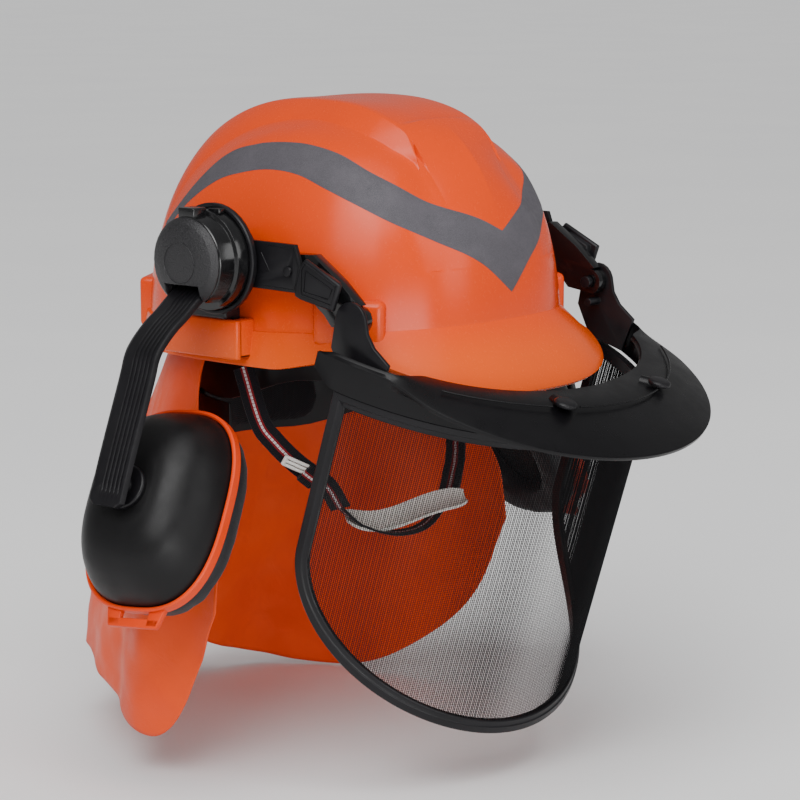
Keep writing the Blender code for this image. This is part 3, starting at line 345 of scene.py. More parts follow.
def hub_texture():
    """Spark-eroded grain of the round hub cover."""
    look = Look("grained_cover", (0.008, 0.0075, 0.009), 0.36, specular=0.5)
    grain = look.noise(1150.0, 3.0, 0.6)
    look.bump(grain, 0.75, 0.0006)
    look.rough(look.ranged(grain, 0.35, 0.65, 0.30, 0.55))
    share = look.ranged(grain, 0.35, 0.7, 0.0, 1.0)
    look.colour(look.mix(share, (0.005, 0.005, 0.006), (0.013, 0.012, 0.014)))
    return look.material


def screen_metal():
    look = Look("screen_wire", (0.006, 0.006, 0.007), 0.75, specular=0.10)
    speck = look.noise(2400.0, 2.0)
    share = look.ranged(speck, 0.3, 0.8, 0.0, 1.0)
    look.colour(look.mix(share, (0.004, 0.004, 0.005), (0.011, 0.011, 0.012)))
    look.bump(speck, 0.2, 0.0001)
    return look.material


def pale_plastic():
    look = Look("pale_plastic", (0.70, 0.68, 0.64), 0.34)
    cloud = look.noise(40.0, 4.0)
    look.colour(look.mix(look.ranged(cloud, 0.35, 0.7, 0.0, 1.0), (0.74, 0.72, 0.68), (0.60, 0.58, 0.53)))
    look.rough(look.ranged(look.noise(240.0, 4.0), 0.3, 0.7, 0.26, 0.44))
    look.bump(look.noise(1200.0, 2.0), 0.08, 0.0002)
    return look.material


LOOKS = {
    "shell_orange": shell_paint(),
    "reflective_grey": tape_cloth(),
    "harness_black": plastic("harness_plastic", (0.0060, 0.0060, 0.0070), 0.42, grain=1500.0),
    "pad_cloth": woven("pad_fabric", (0.013, 0.0125, 0.015), (0.005, 0.005, 0.006), 0.0012, sheen=0.1),
    "webbing": webbing_cloth(),
    "black_plastic": plastic("black_nylon", (0.0062, 0.0058, 0.0070), 0.36, spread=0.09, depth=0.10),
    "brow_satin": plastic("brow_satin", (0.0028, 0.0026, 0.0032), 0.32, depth=0.06, specular=0.22),
    "black_gloss": plastic("black_gloss", (0.0045, 0.0045, 0.0050), 0.17, depth=0.04, specular=0.5),
    "textured_black": hub_texture(),
    "cup_satin": plastic(
        "cup_satin", (0.0050, 0.0048, 0.0052), 0.42, grain=1300.0, depth=0.22, specular=0.22
    ),
    "trim_orange": plastic("orange_trim", (0.66, 0.040, 0.0), 0.36, depth=0.08, tone=0.06),
    "cushion_skin": cushion_skin(),
    "liner_foam": foam(),
    "pale_plastic": pale_plastic(),
    "cape_sheet": cape_cloth(),
    "screen_wire": screen_metal(),
}


# ---------------------------------------------------------------- pieces


def new_object(name, verts, faces, slot, sharp=35.0, uvs=None):
    mesh = bpy.data.meshes.new(name)
    mesh.from_pydata([tuple(v) for v in verts], [], faces)
    if uvs is not None:
        layer = mesh.uv_layers.new(name="UVMap")
        for loop in mesh.loops:
            layer.data[loop.index].uv = uvs[loop.vertex_index]
    bm = bmesh.new()
    bm.from_mesh(mesh)
    bmesh.ops.recalc_face_normals(bm, faces=bm.faces)
    bm.to_mesh(mesh)
    bm.free()
    mesh.materials.append(LOOKS[slot])
    mesh.shade_smooth()
    mesh.set_sharp_from_angle(angle=math.radians(sharp))
    made = bpy.data.objects.new(name, mesh)
    bpy.context.scene.collection.objects.link(made)
    return made


def loft(rings, closed=False, caps=True):
    """Points and faces through rings of equal length; closed joins the last ring to the first."""
    count = len(rings[0])
    verts = [p for ring in rings for p in ring]
    faces = []
    spans = len(rings) if closed else len(rings) - 1
    for r in range(spans):
        a, b = r * count, ((r + 1) % len(rings)) * count
        for i in range(count):
            j = (i + 1) % count
            faces.append((a + i, a + j, b + j, b + i))
    if caps and not closed:
        faces.append(tuple(range(count)))
        faces.append(tuple(reversed(range((len(rings) - 1) * count, len(rings) * count))))
    return verts, faces


def finish_mesh(made):
    """Apply every modifier of an object."""
    graph = bpy.context.evaluated_depsgraph_get()
    mesh = bpy.data.meshes.new_from_object(made.evaluated_get(graph))
    made.modifiers.clear()
    made.data = mesh
    return made


def soften(made, width=0.0005, segments=2, angle=32.0, smooth=35.0):
    """Round the edges that turn by more than angle."""
    edge = made.modifiers.new("edges", "BEVEL")
    edge.width = width
    edge.segments = segments
    edge.limit_method = "ANGLE"
    edge.angle_limit = math.radians(angle)
    edge.harden_normals = False
    finish_mesh(made)
    made.data.shade_smooth()
    made.data.set_sharp_from_angle(angle=math.radians(smooth))
    return made


def place(made, *nodes, body=None):
    """Ride on the body of the first node and stand for all of them."""
    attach(made, body or BODY_OF[nodes[0]])
    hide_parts(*nodes)
    return made


def detail(made, body, slot):
    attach(made, body)
    return made


def refined(node, width=0.0005, angle=32.0, segments=2):
    """The node's own shape with its edges rounded."""
    mesh = NODES[node].data.copy()
    mesh.name = f"{node}_fine"
    bm = bmesh.new()
    bm.from_mesh(mesh)
    bmesh.ops.remove_doubles(bm, verts=bm.verts, dist=0.00002)
    bmesh.ops.dissolve_limit(
        bm, angle_limit=math.radians(1.0), verts=bm.verts, edges=bm.edges, delimit={"NORMAL"}
    )
    bmesh.ops.recalc_face_normals(bm, faces=bm.faces)
    bm.to_mesh(mesh)
    bm.free()
    mesh.materials.clear()
    mesh.materials.append(LOOKS[SLOT_OF[node]])
    made = bpy.data.objects.new(f"{node}_fine", mesh)
    bpy.context.scene.collection.objects.link(made)
    soften(made, width, segments, angle)
    return place(made, node)


def block(name, size, centre, slot, bevel=0.001, turn=0.0, segments=3):
    """A box with rounded edges, turned about the upright axis."""
    bm = bmesh.new()
    bmesh.ops.create_cube(bm, size=1.0)
    bmesh.ops.scale(bm, vec=size, verts=bm.verts)
    bmesh.ops.bevel(bm, geom=bm.edges[:], offset=bevel, segments=segments, affect="EDGES", profile=0.5)
    s, c = math.sin(turn), math.cos(turn)
    verts = []
    for v in bm.verts:
        x, y, z = v.co
        verts.append((centre[0] + c * x - s * y, centre[1] + s * x + c * y, centre[2] + z))
    faces = [tuple(v.index for v in f.verts) for f in bm.faces]
    bm.free()
    return new_object(name, verts, faces, slot, sharp=50.0)


def tube(name, points, radius, slot, sides=6):
    """A thin round bead along a line of points."""
    points = [Vector(p) for p in points]
    rings = []
    count = len(points)
    for i, point in enumerate(points):
        ahead = (points[min(i + 1, count - 1)] - points[max(i - 1, 0)]).normalized()
        side = ahead.cross(Vector((0.31, 0.52, 0.79))).normalized()
        other = ahead.cross(side)
        turns = [2 * math.pi * k / sides for k in range(sides)]
        rings.append([point + (side * math.cos(a) + other * math.sin(a)) * radius for a in turns])
    return new_object(name, *loft(rings), slot, sharp=60.0)


def joined(name, pieces):
    """One object out of several, keeping their materials."""
    bm = bmesh.new()
    materials = []
    for piece in pieces:
        start = len(bm.faces)
        bm.from_mesh(piece.data)
        bm.faces.ensure_lookup_table()
        for face in bm.faces[start:]:
            mat = piece.data.materials[face.material_index]
            if mat not in materials:
                materials.append(mat)
            face.material_index = materials.index(mat)
    mesh = bpy.data.meshes.new(name)
    bm.to_mesh(mesh)
    bm.free()
    for mat in materials:
        mesh.materials.append(mat)
    for piece in pieces:
        bpy.data.objects.remove(piece, do_unlink=True)
    made = bpy.data.objects.new(name, mesh)
    bpy.context.scene.collection.objects.link(made)
    return made


# ---------------------------------------------------------------- shell

DOME_HALF_WIDTH, DOME_FRONT, DOME_REAR, DOME_HEIGHT = 0.1021, 0.1192, 0.1165, 0.1452
PLAN_POWER, HEIGHT_POWER, ROUND_POWER = 2.57, 2.39, 2.73
WALL = 0.0028
FLARE = 0.005


def plan_point(angle, half_width, front, rear):
    s, c = math.sin(angle), math.cos(angle)
    reach = front if c > 0 else rear
    return half_width * signed_power(s, 2 / PLAN_POWER), -reach * signed_power(c, 2 / PLAN_POWER)


def dome_point(angle, z):
    x, y = plan_point(angle, DOME_HALF_WIDTH, DOME_FRONT, DOME_REAR)
    inside = 1.0 - min(max(z, 0.0) / DOME_HEIGHT, 1.0) ** HEIGHT_POWER
    k = max(inside, 0.0) ** (1.0 / ROUND_POWER)
    return Vector((x * k, y * k, z))


def dome_normal(point):
    x, y, z = point
    reach = DOME_FRONT if y < 0 else DOME_REAR
    rho = max((abs(x) / DOME_HALF_WIDTH) ** PLAN_POWER + (abs(y) / reach) ** PLAN_POWER, 1e-9)
    share = rho ** (ROUND_POWER / PLAN_POWER - 1)
    gx = math.copysign(share * (abs(x) / DOME_HALF_WIDTH) ** (PLAN_POWER - 1) / DOME_HALF_WIDTH, x)
    gy = math.copysign(share * (abs(y) / reach) ** (PLAN_POWER - 1) / reach, y)
    gz = HEIGHT_POWER / ROUND_POWER * (max(z, 0) / DOME_HEIGHT) ** (HEIGHT_POWER - 1) / DOME_HEIGHT
    return Vector((gx, gy, gz)).normalized()


WING_OUTER = (
    (-0.081, 0.0384), (-0.069, 0.044), (-0.053, 0.047), (-0.033, 0.048), (-0.011, 0.047), (0.006, 0.049),
    (0.025, 0.055), (0.044, 0.062), (0.080, 0.072), (0.110, 0.080),
)
WING_INNER = (
    (-0.072, 0.0332), (-0.052, 0.0344), (-0.034, 0.0328), (0.0, 0.0315), (0.030, 0.034), (0.060, 0.041),
    (0.10, 0.052),
)
GROOVE = 0.0056


def relief(x, y, z):
    """How far the crown's wings, groove and prow stand from the plain dome."""
    if z < 0.055:
        return 0.0
    a = abs(x)
    outer, inner = interpolate(WING_OUTER, y), interpolate(WING_INNER, y)
    depth = GROOVE * (1 - smoothstep(0.045, 0.108, y)) * (1 - smoothstep(0.0, 0.026, a - outer))
    depth *= 1 - smoothstep(0.090, 0.114, -y)
    ramp = clamp((a - inner) / (outer - inner))
    prow = smoothstep(0.066, 0.090, -y)
    if a < inner:
        share = prow * a / inner
    else:
        share = max(ramp, prow)
    front = -0.072 - clamp(a - 0.0332, 0.0, 0.02) * 1.73
    if a >= inner:
        share = max(share, clamp((front - y) / 0.0040))
    trough = 0.0024 * max(1 - (a / (inner * 0.93)) ** 2, 0.0)
    trough *= clamp((y + 0.0640) / 0.0025) * (1 - smoothstep(0.020, 0.080, y))
    return -depth * share - trough


def near_crease(point):
    """Whether the crown's relief turns sharply close to this point of the dome."""
    x, y, z = point
    a = abs(x)
    if z < 0.053 or y > 0.090:
        return False
    front = -0.072 - clamp(a - 0.0332, 0.0, 0.02) * 1.73
    gaps = [abs(a - interpolate(WING_OUTER, y)), abs(a - interpolate(WING_INNER, y))]
    if a > 0.031:
        gaps += [abs(front - y), abs(front - 0.0040 - y)]
    else:
        gaps += [a + 0.001 if y < -0.060 else 1.0, abs(y + 0.0628)]
    return min(gaps) < 0.0035


def on_dome(point):
    """The plain dome's surface next to a point."""
    x, y, z = point
    reach = DOME_FRONT if y < 0 else DOME_REAR
    rho = max((abs(x) / DOME_HALF_WIDTH) ** PLAN_POWER + (abs(y) / reach) ** PLAN_POWER, 1e-9)
    high = min(max(z, 0.0) / DOME_HEIGHT, 1.0)
    value = rho ** (ROUND_POWER / PLAN_POWER) + high**HEIGHT_POWER - 1.0
    share = ROUND_POWER * rho ** (ROUND_POWER / PLAN_POWER - 1)
    gx = math.copysign(share * (abs(x) / DOME_HALF_WIDTH) ** (PLAN_POWER - 1) / DOME_HALF_WIDTH, x)
    gy = math.copysign(share * (abs(y) / reach) ** (PLAN_POWER - 1) / reach, y)
    slope = Vector((gx, gy, HEIGHT_POWER * high ** (HEIGHT_POWER - 1) / DOME_HEIGHT))
    return Vector(point) - slope * (value / slope.length_squared)


def brim_point(angle):
    s, c = abs(math.sin(angle)), max(math.cos(angle), 0.0)
    power = 2 / 2.58
    reach = 0.1257 * c**power
    tilt = math.radians(20.9)
    x = math.copysign(0.1039 * s**power, math.sin(angle))
    return Vector((x, -0.0312 - reach * math.cos(tilt), 0.0343 - reach * math.sin(tilt)))


def turn_of(angle):
    return math.degrees(abs(math.atan2(math.sin(angle), math.cos(angle))))


def rim_point(angle):
    x, y = plan_point(angle, DOME_HALF_WIDTH + FLARE, DOME_FRONT + FLARE, DOME_REAR + FLARE)
    weight = 1.0 - smoothstep(58, 80, turn_of(angle))
    return Vector((x, y, 0.0)).lerp(brim_point(angle), weight)


def build_shell():
    sides, skirt_rows, dome_rows = 288, 12, 84
    rows = []
    for r in range(skirt_rows + 1):
        u = r / skirt_rows
        row = []
        for i in range(sides):
            angle = 2 * math.pi * i / sides
            ledge = 0.0019 * smoothstep(66, 78, turn_of(angle))
            crease = dome_point(angle, 0.019 + 0.006 * max(math.cos(angle), 0.0))
            out = dome_normal(crease)
            out = Vector((out.x, out.y, 0)).normalized()
            step = out * ledge - Vector((0, 0, 0.0004 * min(ledge / 0.0019, 1)))
            point = rim_point(angle).lerp(crease + step, u)
            row.append(point + out * 0.0012 * math.sin(math.pi * u) * smoothstep(70, 40, turn_of(angle)))
        rows.append(row)
    for r in range(dome_rows):
        row = []
        for i in range(sides):
            angle = 2 * math.pi * i / sides
            foot = 0.019 + 0.006 * max(math.cos(angle), 0.0)
            low = math.asin(foot / DOME_HEIGHT)
            row.append(dome_point(angle, DOME_HEIGHT * math.sin(low + (math.pi / 2 - low) * r / dome_rows)))
        rows.append(row)
    verts, faces = loft(rows, caps=False)
    last = (len(rows) - 1) * sides
    verts.append(Vector((0, 0, DOME_HEIGHT)))
    for i in range(sides):
        faces.append((last + i, last + (i + 1) % sides, len(verts) - 1))
    wall = new_object("shell_wall", verts, faces, "shell_orange")
    bm = bmesh.new()
    bm.from_mesh(wall.data)
    edges = {e for f in bm.faces if near_crease(f.calc_center_median()) for e in f.edges}
    bmesh.ops.subdivide_edges(bm, edges=list(edges), cuts=3, use_grid_fill=True)
    for v in bm.verts:
        if v.co.z > 0.053:
            point = on_dome(v.co)
            v.co = point + dome_normal(point) * relief(*point)
    bm.to_mesh(wall.data)
    outside = BVHTree.FromBMesh(bm)
    bm.free()
    wall.data.set_sharp_from_angle(angle=math.radians(24))
    thick = wall.modifiers.new("wall", "SOLIDIFY")
    thick.thickness = WALL
    thick.offset = -1.0
    soften(wall, 0.0007, 2, 66.0, 50.0)
    pieces = [wall]
    for sign in (-1, 1):
        pieces += shell_bosses(sign)
    return place(joined("shell_fine", pieces), "helmet_shell"), outside


def shell_bosses(sign):
    """The moulded pads at the ears, beside the peak and at the rear."""
    pads = (
        ("ear_pad", (0.0052, 0.057, 0.0222), (0.11340, 0.012, 0.0151), 0.0016, 0, 3),
        ("ear_end_a", (0.0135, 0.0078, 0.0222), (0.10775, -0.0126, 0.0151), 0.0016, 0, 3),
        ("ear_end_b", (0.0135, 0.0218, 0.0222), (0.10775, 0.0296, 0.0151), 0.0016, 0, 3),
        ("ear_base", (0.0135, 0.057, 0.0040), (0.10775, 0.012, 0.0060), 0.0016, 0, 3),
        ("front_pad", (0.0150, 0.0400, 0.0255), (0.0850, -0.0725, 0.0272), 0.0040, -27, 5),
        ("rear_pad", (0.0140, 0.0300, 0.0290), (0.0600, 0.1010, 0.0225), 0.0030, 60, 4),
    )
    made = []
    for name, size, (x, y, z), bevel, turn, segments in pads:
        turn = sign * math.radians(turn)
        made.append(block(name, size, (sign * x, y, z), "shell_orange", bevel, turn, segments))
    return made


TAPE_LOWER = (
    (0, 39.3), (11, 56.9), (25, 70.7), (36, 79.6), (48, 90.5), (58, 98.1), (69, 104.6), (83, 106.6),
    (97, 104), (110, 97.4), (129, 74), (138, 58),
)
TAPE_UPPER = (
    (0, 73), (8, 80.6), (18, 87.9), (31, 97.7), (43, 108), (53, 116.4), (66, 120.8), (80, 121.5),
    (98, 119.5), (114, 112.4), (128, 87.1), (138, 72),
)


def smooth_table(table, value):
    """A smooth curve through the table's points."""
    for k in range(len(table) - 1):
        if value <= table[k + 1][0] or k == len(table) - 2:
            break
    (x0, y0), (x1, y1) = table[k], table[k + 1]
    t = (value - x0) / (x1 - x0)
    before = table[k - 1] if k else (x0 - (x1 - x0), y0 - (y1 - y0))
    after = table[k + 2] if k + 2 < len(table) else (x1 + (x1 - x0), y1 + (y1 - y0))
    m0 = (y1 - before[1]) / (x1 - before[0]) * (x1 - x0)
    m1 = (after[1] - y0) / (after[0] - x0) * (x1 - x0)
    a, b = 2 * t**3 - 3 * t**2 + 1, t**3 - 2 * t**2 + t
    c, d = -2 * t**3 + 3 * t**2, t**3 - t**2
    return a * y0 + b * m0 + c * y1 + d * m1


def bearing_to_angle(turn):
    low, high = 0.0, math.pi
    for _ in range(30):
        mid = (low + high) / 2
        x, y = plan_point(mid, DOME_HALF_WIDTH, DOME_FRONT, DOME_REAR)
        if math.degrees(math.atan2(x, -y)) < turn:
            low = mid
        else:
            high = mid
    return (low + high) / 2


def build_tape(outside):
    """The chevron band laid on the shell, one wide strip with a thin edge."""
    steps, cuts = 120, 10
    rings = []
    for i in range(-steps, steps + 1):
        turn = abs(i) / steps * 138
        low, high = smooth_table(TAPE_LOWER, turn) * 0.001, smooth_table(TAPE_UPPER, turn) * 0.001
        angle = math.copysign(bearing_to_angle(turn), i)
        feet = []
        for k in range(cuts + 1):
            point = dome_point(angle, low + (high - low) * k / cuts)
            normal = dome_normal(point)
            hit = outside.ray_cast(point + normal * 0.02, -normal)[0]
            feet.append((hit, normal))
        ring = [hit - normal * 0.0004 for hit, normal in feet]
        for k in range(cuts, -1, -1):
            hit, normal = feet[k]
            ring.append(hit + normal * (0.00035 if 0 < k < cuts else 0.0001))
        rings.append(ring)
    return place(new_object("tape_fine", *loft(rings), "reflective_grey", 50.0), "reflective_tape")


# ---------------------------------------------------------------- inside the shell


def oval(angle, half_width, half_length, z):
    return Vector((half_width * math.sin(angle), -half_length * math.cos(angle), z))


def pad_strip(name, node, start, end, half_width, half_length, thick, low, high, count=60):
    """A foam pad in cloth along an oval band, swollen between its edges."""
    rings = []
    section = 14
    for i in range(count):
        turn = start + (end - start) * i / (count - 1)
        taper = min(1.0, math.sqrt(max(1 - (2 * i / (count - 1) - 1) ** 12, 0.02)))
        a = math.radians(turn)
        ring = []
        for k in range(section):
            t = 2 * math.pi * k / section
            depth = thick / 2 + thick / 2 * taper * signed_power(math.cos(t), 0.7)
            z = (low + high) / 2 + (high - low) / 2 * taper * signed_power(math.sin(t), 0.6)
            z += 0.0004 * math.sin(turn * 1.3)
            ring.append(oval(a, half_width + depth, half_length + depth, z))
        rings.append(ring)
    made = place(new_object(name, *loft(rings), SLOT_OF[node], 60.0), node)
    return made


def strap_mesh(name, points, sides, normals, width, thickness, slot="webbing"):
    """Flat webbing with rounded selvedges; its UV runs across (0 to 1) and along (metres)."""
    profile = ((0.0, 0.0), (0.04, -0.5), (0.25, -0.5), (0.5, -0.5), (0.75, -0.5), (0.96, -0.5), (1.0, 0.0))
    profile += ((0.96, 0.5), (0.75, 0.5), (0.5, 0.5), (0.25, 0.5), (0.04, 0.5))
    verts, uvs = [], []
    run = 0.0
    for i, point in enumerate(points):
        if i:
            run += (point - points[i - 1]).length
        for across, level in profile:
            verts.append(point + sides[i] * (across - 0.5) * width + normals[i] * (level + 0.5) * thickness)
            uvs.append((across, run))
    count = len(profile)
    faces = []
    for r in range(len(points) - 1):
        for k in range(count):
            j = (k + 1) % count
            faces.append((r * count + k, r * count + j, (r + 1) * count + j, (r + 1) * count + k))
    faces.append(tuple(range(count)))
    faces.append(tuple(reversed(range((len(points) - 1) * count, len(points) * count))))
    return new_object(name, verts, faces, slot, 50.0, uvs)


def build_inside():
    pad_strip("sweatband_fine", "sweatband", -62, 62, 0.0742, 0.0932, 0.0036, -0.008, 0.018, 90)
    pad_strip("nape_pad_fine", "nape_pad", 140, 220, 0.0753, 0.0943, 0.0048, -0.062, -0.032)
    for name in ("headband", "nape_band"):
        refined(name, 0.0006, 40.0)
    for end in ("front", "rear"):
        for side, _ in SIDES:
            refined(f"suspension_lug_{end}_{side}", 0.0004)
    refined("ratchet_housing", 0.0006, 20.0)
    refined("ratchet_knob", 0.0004)
    build_knob_ribs()
    for name, first, lift in (("crown_strap_lower", 48, 0.0), ("crown_strap_upper", 132, 0.0026)):
        a = math.radians(first)
        foot = oval(a, 0.0820, 0.1010, 0)
        across = Vector((foot.x, foot.y, 0)).normalized()
        side = Vector((-across.y, across.x, 0))
        points = []
        count = 90
        for i in range(count):
            t = math.pi * i / (count - 1)
            flat = signed_power(math.cos(t), 0.72)
            rise = 0.0056 + (0.098 + lift) * math.sin(t) ** 0.8
            points.append(across * foot.length * flat + Vector((0, 0, rise)))
        normals = []
        for i in range(count):
            ahead = (points[min(i + 1, count - 1)] - points[max(i - 1, 0)]).normalized()
            normal = side.cross(ahead)
            normals.append(normal if normal.dot(points[i]) > 0 else -normal)
        place(strap_mesh(f"{name}_fine", points, [side] * count, normals, 0.019, 0.0014), name)


def build_knob_ribs():
    ribs = []
    for i in range(24):
        a = 2 * math.pi * i / 24
        x, z = 0.0139 * math.sin(a), -0.048 + 0.0139 * math.cos(a)
        ribs.append(tube("rib", [(x, 0.1124, z), (x, 0.1190, z)], 0.0008, "black_plastic"))
    detail(joined("knob_ribs", ribs), "knob", "black_plastic")


# ---------------------------------------------------------------- chin strap

CHIN_RIGHT = (
    (-0.0870, 0.0060, -0.0050), (-0.0850, -0.0045, -0.0350), (-0.0815, -0.0125, -0.0465),
    (-0.0725, -0.0215, -0.0595), (-0.0560, -0.0285, -0.0735), (-0.0400, -0.0250, -0.0890),
)
CHIN_LEFT = (
    (0.0870, -0.0010, -0.0050), (0.0830, -0.0110, -0.0340), (0.0710, -0.0200, -0.0560),
    (0.0560, -0.0320, -0.0720), (0.0430, -0.0400, -0.0820), (0.0310, -0.0470, -0.0885),
)


def ribbon_frame(points, outward):
    sides, normals = [], []
    count = len(points)
    for i in range(count):
        ahead = points[min(i + 1, count - 1)] - points[max(i - 1, 0)]
        side = ahead.cross(Vector(outward)).normalized()
        sides.append(side)
        normals.append(side.cross(ahead).normalized())
    if normals[0].dot(Vector(outward)) < 0:
        normals = [-n for n in normals]
    return sides, normals


def build_chin():
    for side_name, route, outward in (
        ("right", CHIN_RIGHT, (-0.86, -0.5, 0.0)),
        ("left", CHIN_LEFT, (0.85, 0.45, 0.0)),
    ):
        points = spline(route, 81)
        sides, normals = ribbon_frame(points, outward)
        strap = strap_mesh(f"chin_webbing_{side_name}", points, sides, normals, 0.0125, 0.0016)
        place(strap, f"chin_strap_{side_name}")
        if side_name == "right":
            place_slider(side_name, points[48], sides[48], normals[48])
    build_under_strap()
    build_chin_cup()


def place_slider(side_name, place_at, side, normal):
    """A slim slider plate with its two slots, and the webbing's tail looped through it."""
    ahead = normal.cross(side)
    long_way = (ahead * 0.96 - side * 0.28).normalized()
    short_way = normal.cross(long_way)
    bars = []
    for step in (-0.0024, 0.0, 0.0024):
        a = place_at + short_way * step + normal * 0.0028 - long_way * 0.0082
        b = place_at + short_way * step + normal * 0.0028 + long_way * 0.0082
        bars.append(tube("bar", [a, b], 0.0010, "pale_plastic", 8))
    for edge in (-0.0082, 0.0082):
        a = place_at + long_way * edge - short_way * 0.0027 + normal * 0.0028
        b = place_at + long_way * edge + short_way * 0.0027 + normal * 0.0028
        bars.append(tube("end", [a, b], 0.0013, "pale_plastic", 8))
    place(joined(f"slider_{side_name}_fine", bars), f"strap_slider_{side_name}")
    loop, normals = [], []
    for k in range(15):
        t = k / 14 * math.pi
        step = ahead * (0.0045 + 0.0085 * math.sin(t)) + normal * (0.0026 + 0.0016 * (1 - math.cos(t)))
        loop.append(place_at + step)
        normals.append(normal * math.cos(t) + ahead * math.sin(t))
    tail = strap_mesh(f"strap_tail_{side_name}", loop, [side] * 15, normals, 0.0118, 0.0012)
    detail(tail, "helmet", "webbing")


def build_under_strap():
    """The webbing's run under the chin cup from one side to the other."""
    middle = [(-0.026, -0.0290, -0.1010), (-0.006, -0.0375, -0.1080), (0.014, -0.0440, -0.1050)]
    route = [CHIN_RIGHT[-1], *middle, CHIN_LEFT[-1]]
    points = spline(route, 49)
    across = Vector((0.42, 0.90, 0.0)).normalized()
    normals = []
    for i in range(49):
        ahead = (points[min(i + 1, 48)] - points[max(i - 1, 0)]).normalized()
        normals.append(across.cross(ahead).normalized())
    strap = strap_mesh("chin_webbing_under", points, [across] * 49, normals, 0.0125, 0.0013)
    detail(strap, "helmet", "webbing")


def build_chin_cup():
    """A thin curved saddle with a raised rim."""
    yaw = math.radians(-30)
    along = Vector((math.cos(yaw), math.sin(yaw), 0.10)).normalized()
    across = Vector((-math.sin(yaw), math.cos(yaw), 0.62)).normalized()
    up = along.cross(across)
    centre = Vector((0, -0.040, -0.0985))
    rings = []
    for i in range(49):
        t = -1 + 2 * i / 48
        half = 0.0078 * math.sqrt(max(1 - (0.95 * t) ** 8, 0.02))
        middle = centre + along * 0.037 * t + up * (0.006 * t * t + 0.0034 * math.sin(3.2 * t))
        ring = []
        for k in range(17):
            share = -1 + 2 * k / 16
            lip = 0.0004 * smoothstep(0.75, 1.0, abs(share))
            ring.append(middle + across * half * share + up * (0.0018 + lip - 0.002 * (1 - share**2)))
        for k in range(17):
            share = 1 - 2 * k / 16
            ring.append(middle + across * half * share - up * 0.002 * (1 - share**2))
        rings.append(ring)
    made = new_object("chin_cup_fine", *loft(rings), "pale_plastic", 50.0)
    place(made, "chin_cup")


# ---------------------------------------------------------------- neck cape

CAPE_HEM_RIGHT = (
    (0, 0.200), (0.35, 0.188), (0.6, 0.197), (0.72, 0.203), (0.87, 0.213), (0.93, 0.185), (1, 0.125),
)
CAPE_HEM_LEFT = (
    (0, 0.200), (0.34, 0.228), (0.56, 0.238), (0.66, 0.233), (0.75, 0.219), (0.87, 0.190),
    (0.95, 0.158), (1, 0.115),
)


def cape_point(across, down):
    """Outer face of the cape with its folds: across -1 to 1 from right to left, down 0 at the rim to 1."""
    table = CAPE_HEM_RIGHT if across < 0 else CAPE_HEM_LEFT
    hem = sum(smooth_table(table, clamp(abs(across) + 0.018 * k)) for k in range(-2, 3)) / 5
    z = -hem * down if down >= 0 else 0.012 * min(-down * 8, 1.0)
    fall = min(max(-z, 0) / 0.150, 1.0)
    flare = 0.042 if across < 0 else 0.030
    width = 0.097 + flare * math.sin(fall * math.pi / 2)
    depth = 0.112 + 0.058 * max(-z, 0) / 0.175
    swing = 21 * smoothstep(0, 0.100, -z)
    bearing = math.radians(across * (75 + swing))
    spread = smoothstep(0.0, 0.120, -z)
    wave = 0.0034 * math.sin(across * 15.0 + 0.6) + 0.0022 * math.sin(across * 27.0 + 9 * z)
    wave += 0.0050 * (noise.noise(Vector((across * 4.2, z * 16.0, 0.3))))
    wave += 0.0016 * (noise.noise(Vector((across * 16.0, z * 55.0, 2.3))))
    seam = 1 - smoothstep(0.0, 0.02, abs(across))
    wave *= spread * (1 - seam * 0.5) * (1 - 0.7 * smoothstep(0.45, 0.9, across))
    point = Vector((width * math.sin(bearing), depth * math.cos(bearing), z))
    out = Vector((math.sin(bearing) / width, math.cos(bearing) / depth, 0)).normalized()
    return point + out * wave


def build_cape():
    columns, rows = 110, 90
    for side_name, sign in SIDES:
        verts, faces = [], []
        for r in range(rows + 1):
            down = -0.125 + 1.125 * r / rows
            for c in range(columns + 1):
                verts.append(cape_point(sign * (c / columns), down))
        for r in range(rows):
            for c in range(columns):
                a = r * (columns + 1) + c
                faces.append((a, a + 1, a + columns + 2, a + columns + 1))
        made = new_object(f"cape_{side_name}", verts, faces, "cape_sheet", 80.0)
        sheet = made.modifiers.new("sheet", "SOLIDIFY")
        sheet.thickness = 0.0009
        sheet.offset = 0.0
        finish_mesh(made)
        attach(made, "helmet")
        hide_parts("neck_cape")
        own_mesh(made)
    for name in ("rear", "right", "left"):
        refined(f"cape_stud_{name}", 0.0003)


# ---------------------------------------------------------------- ear muffs

ARM_ROUTE = (
    (0.1295, 0.0465), (0.1365, 0.0455), (0.1450, 0.0405), (0.1530, 0.0345), (0.1627, 0.0281),
    (0.1722, 0.0196), (0.1772, 0.0123), (0.1813, 0.0007), (0.1960, -0.0370), (0.2058, -0.0640),
)
HUB_Y, HUB_Z = -0.0025, 0.060


class MuffFrame:
    """Local frame of one ear cup: forward, up and outward, from the middle of its rim."""

    def __init__(self, sign):
        self.centre = Vector((sign * 0.159, 0.0, -0.075))
        self.out = Vector((sign * 0.848, -0.083, 0.516)).normalized()
        self.up = Vector((sign * -0.505, 0.138, 0.852))
        self.up = (self.up - self.out * self.up.dot(self.out)).normalized()
        self.forward = self.up.cross(self.out)
        if self.forward.y > 0:
            self.forward = -self.forward

    def at(self, forward, up, out):
        return self.centre + self.forward * forward + self.up * up + self.out * out

    def oval(self, half_width, half_height, out, count=112, power=2.75):
        ring = []
        for i in range(count):
            a = 2 * math.pi * i / count
            f = half_width * signed_power(math.sin(a), 2 / power)
            u = half_height * signed_power(math.cos(a), 2 / power)
            ring.append(self.at(f, u, out))
        return ring


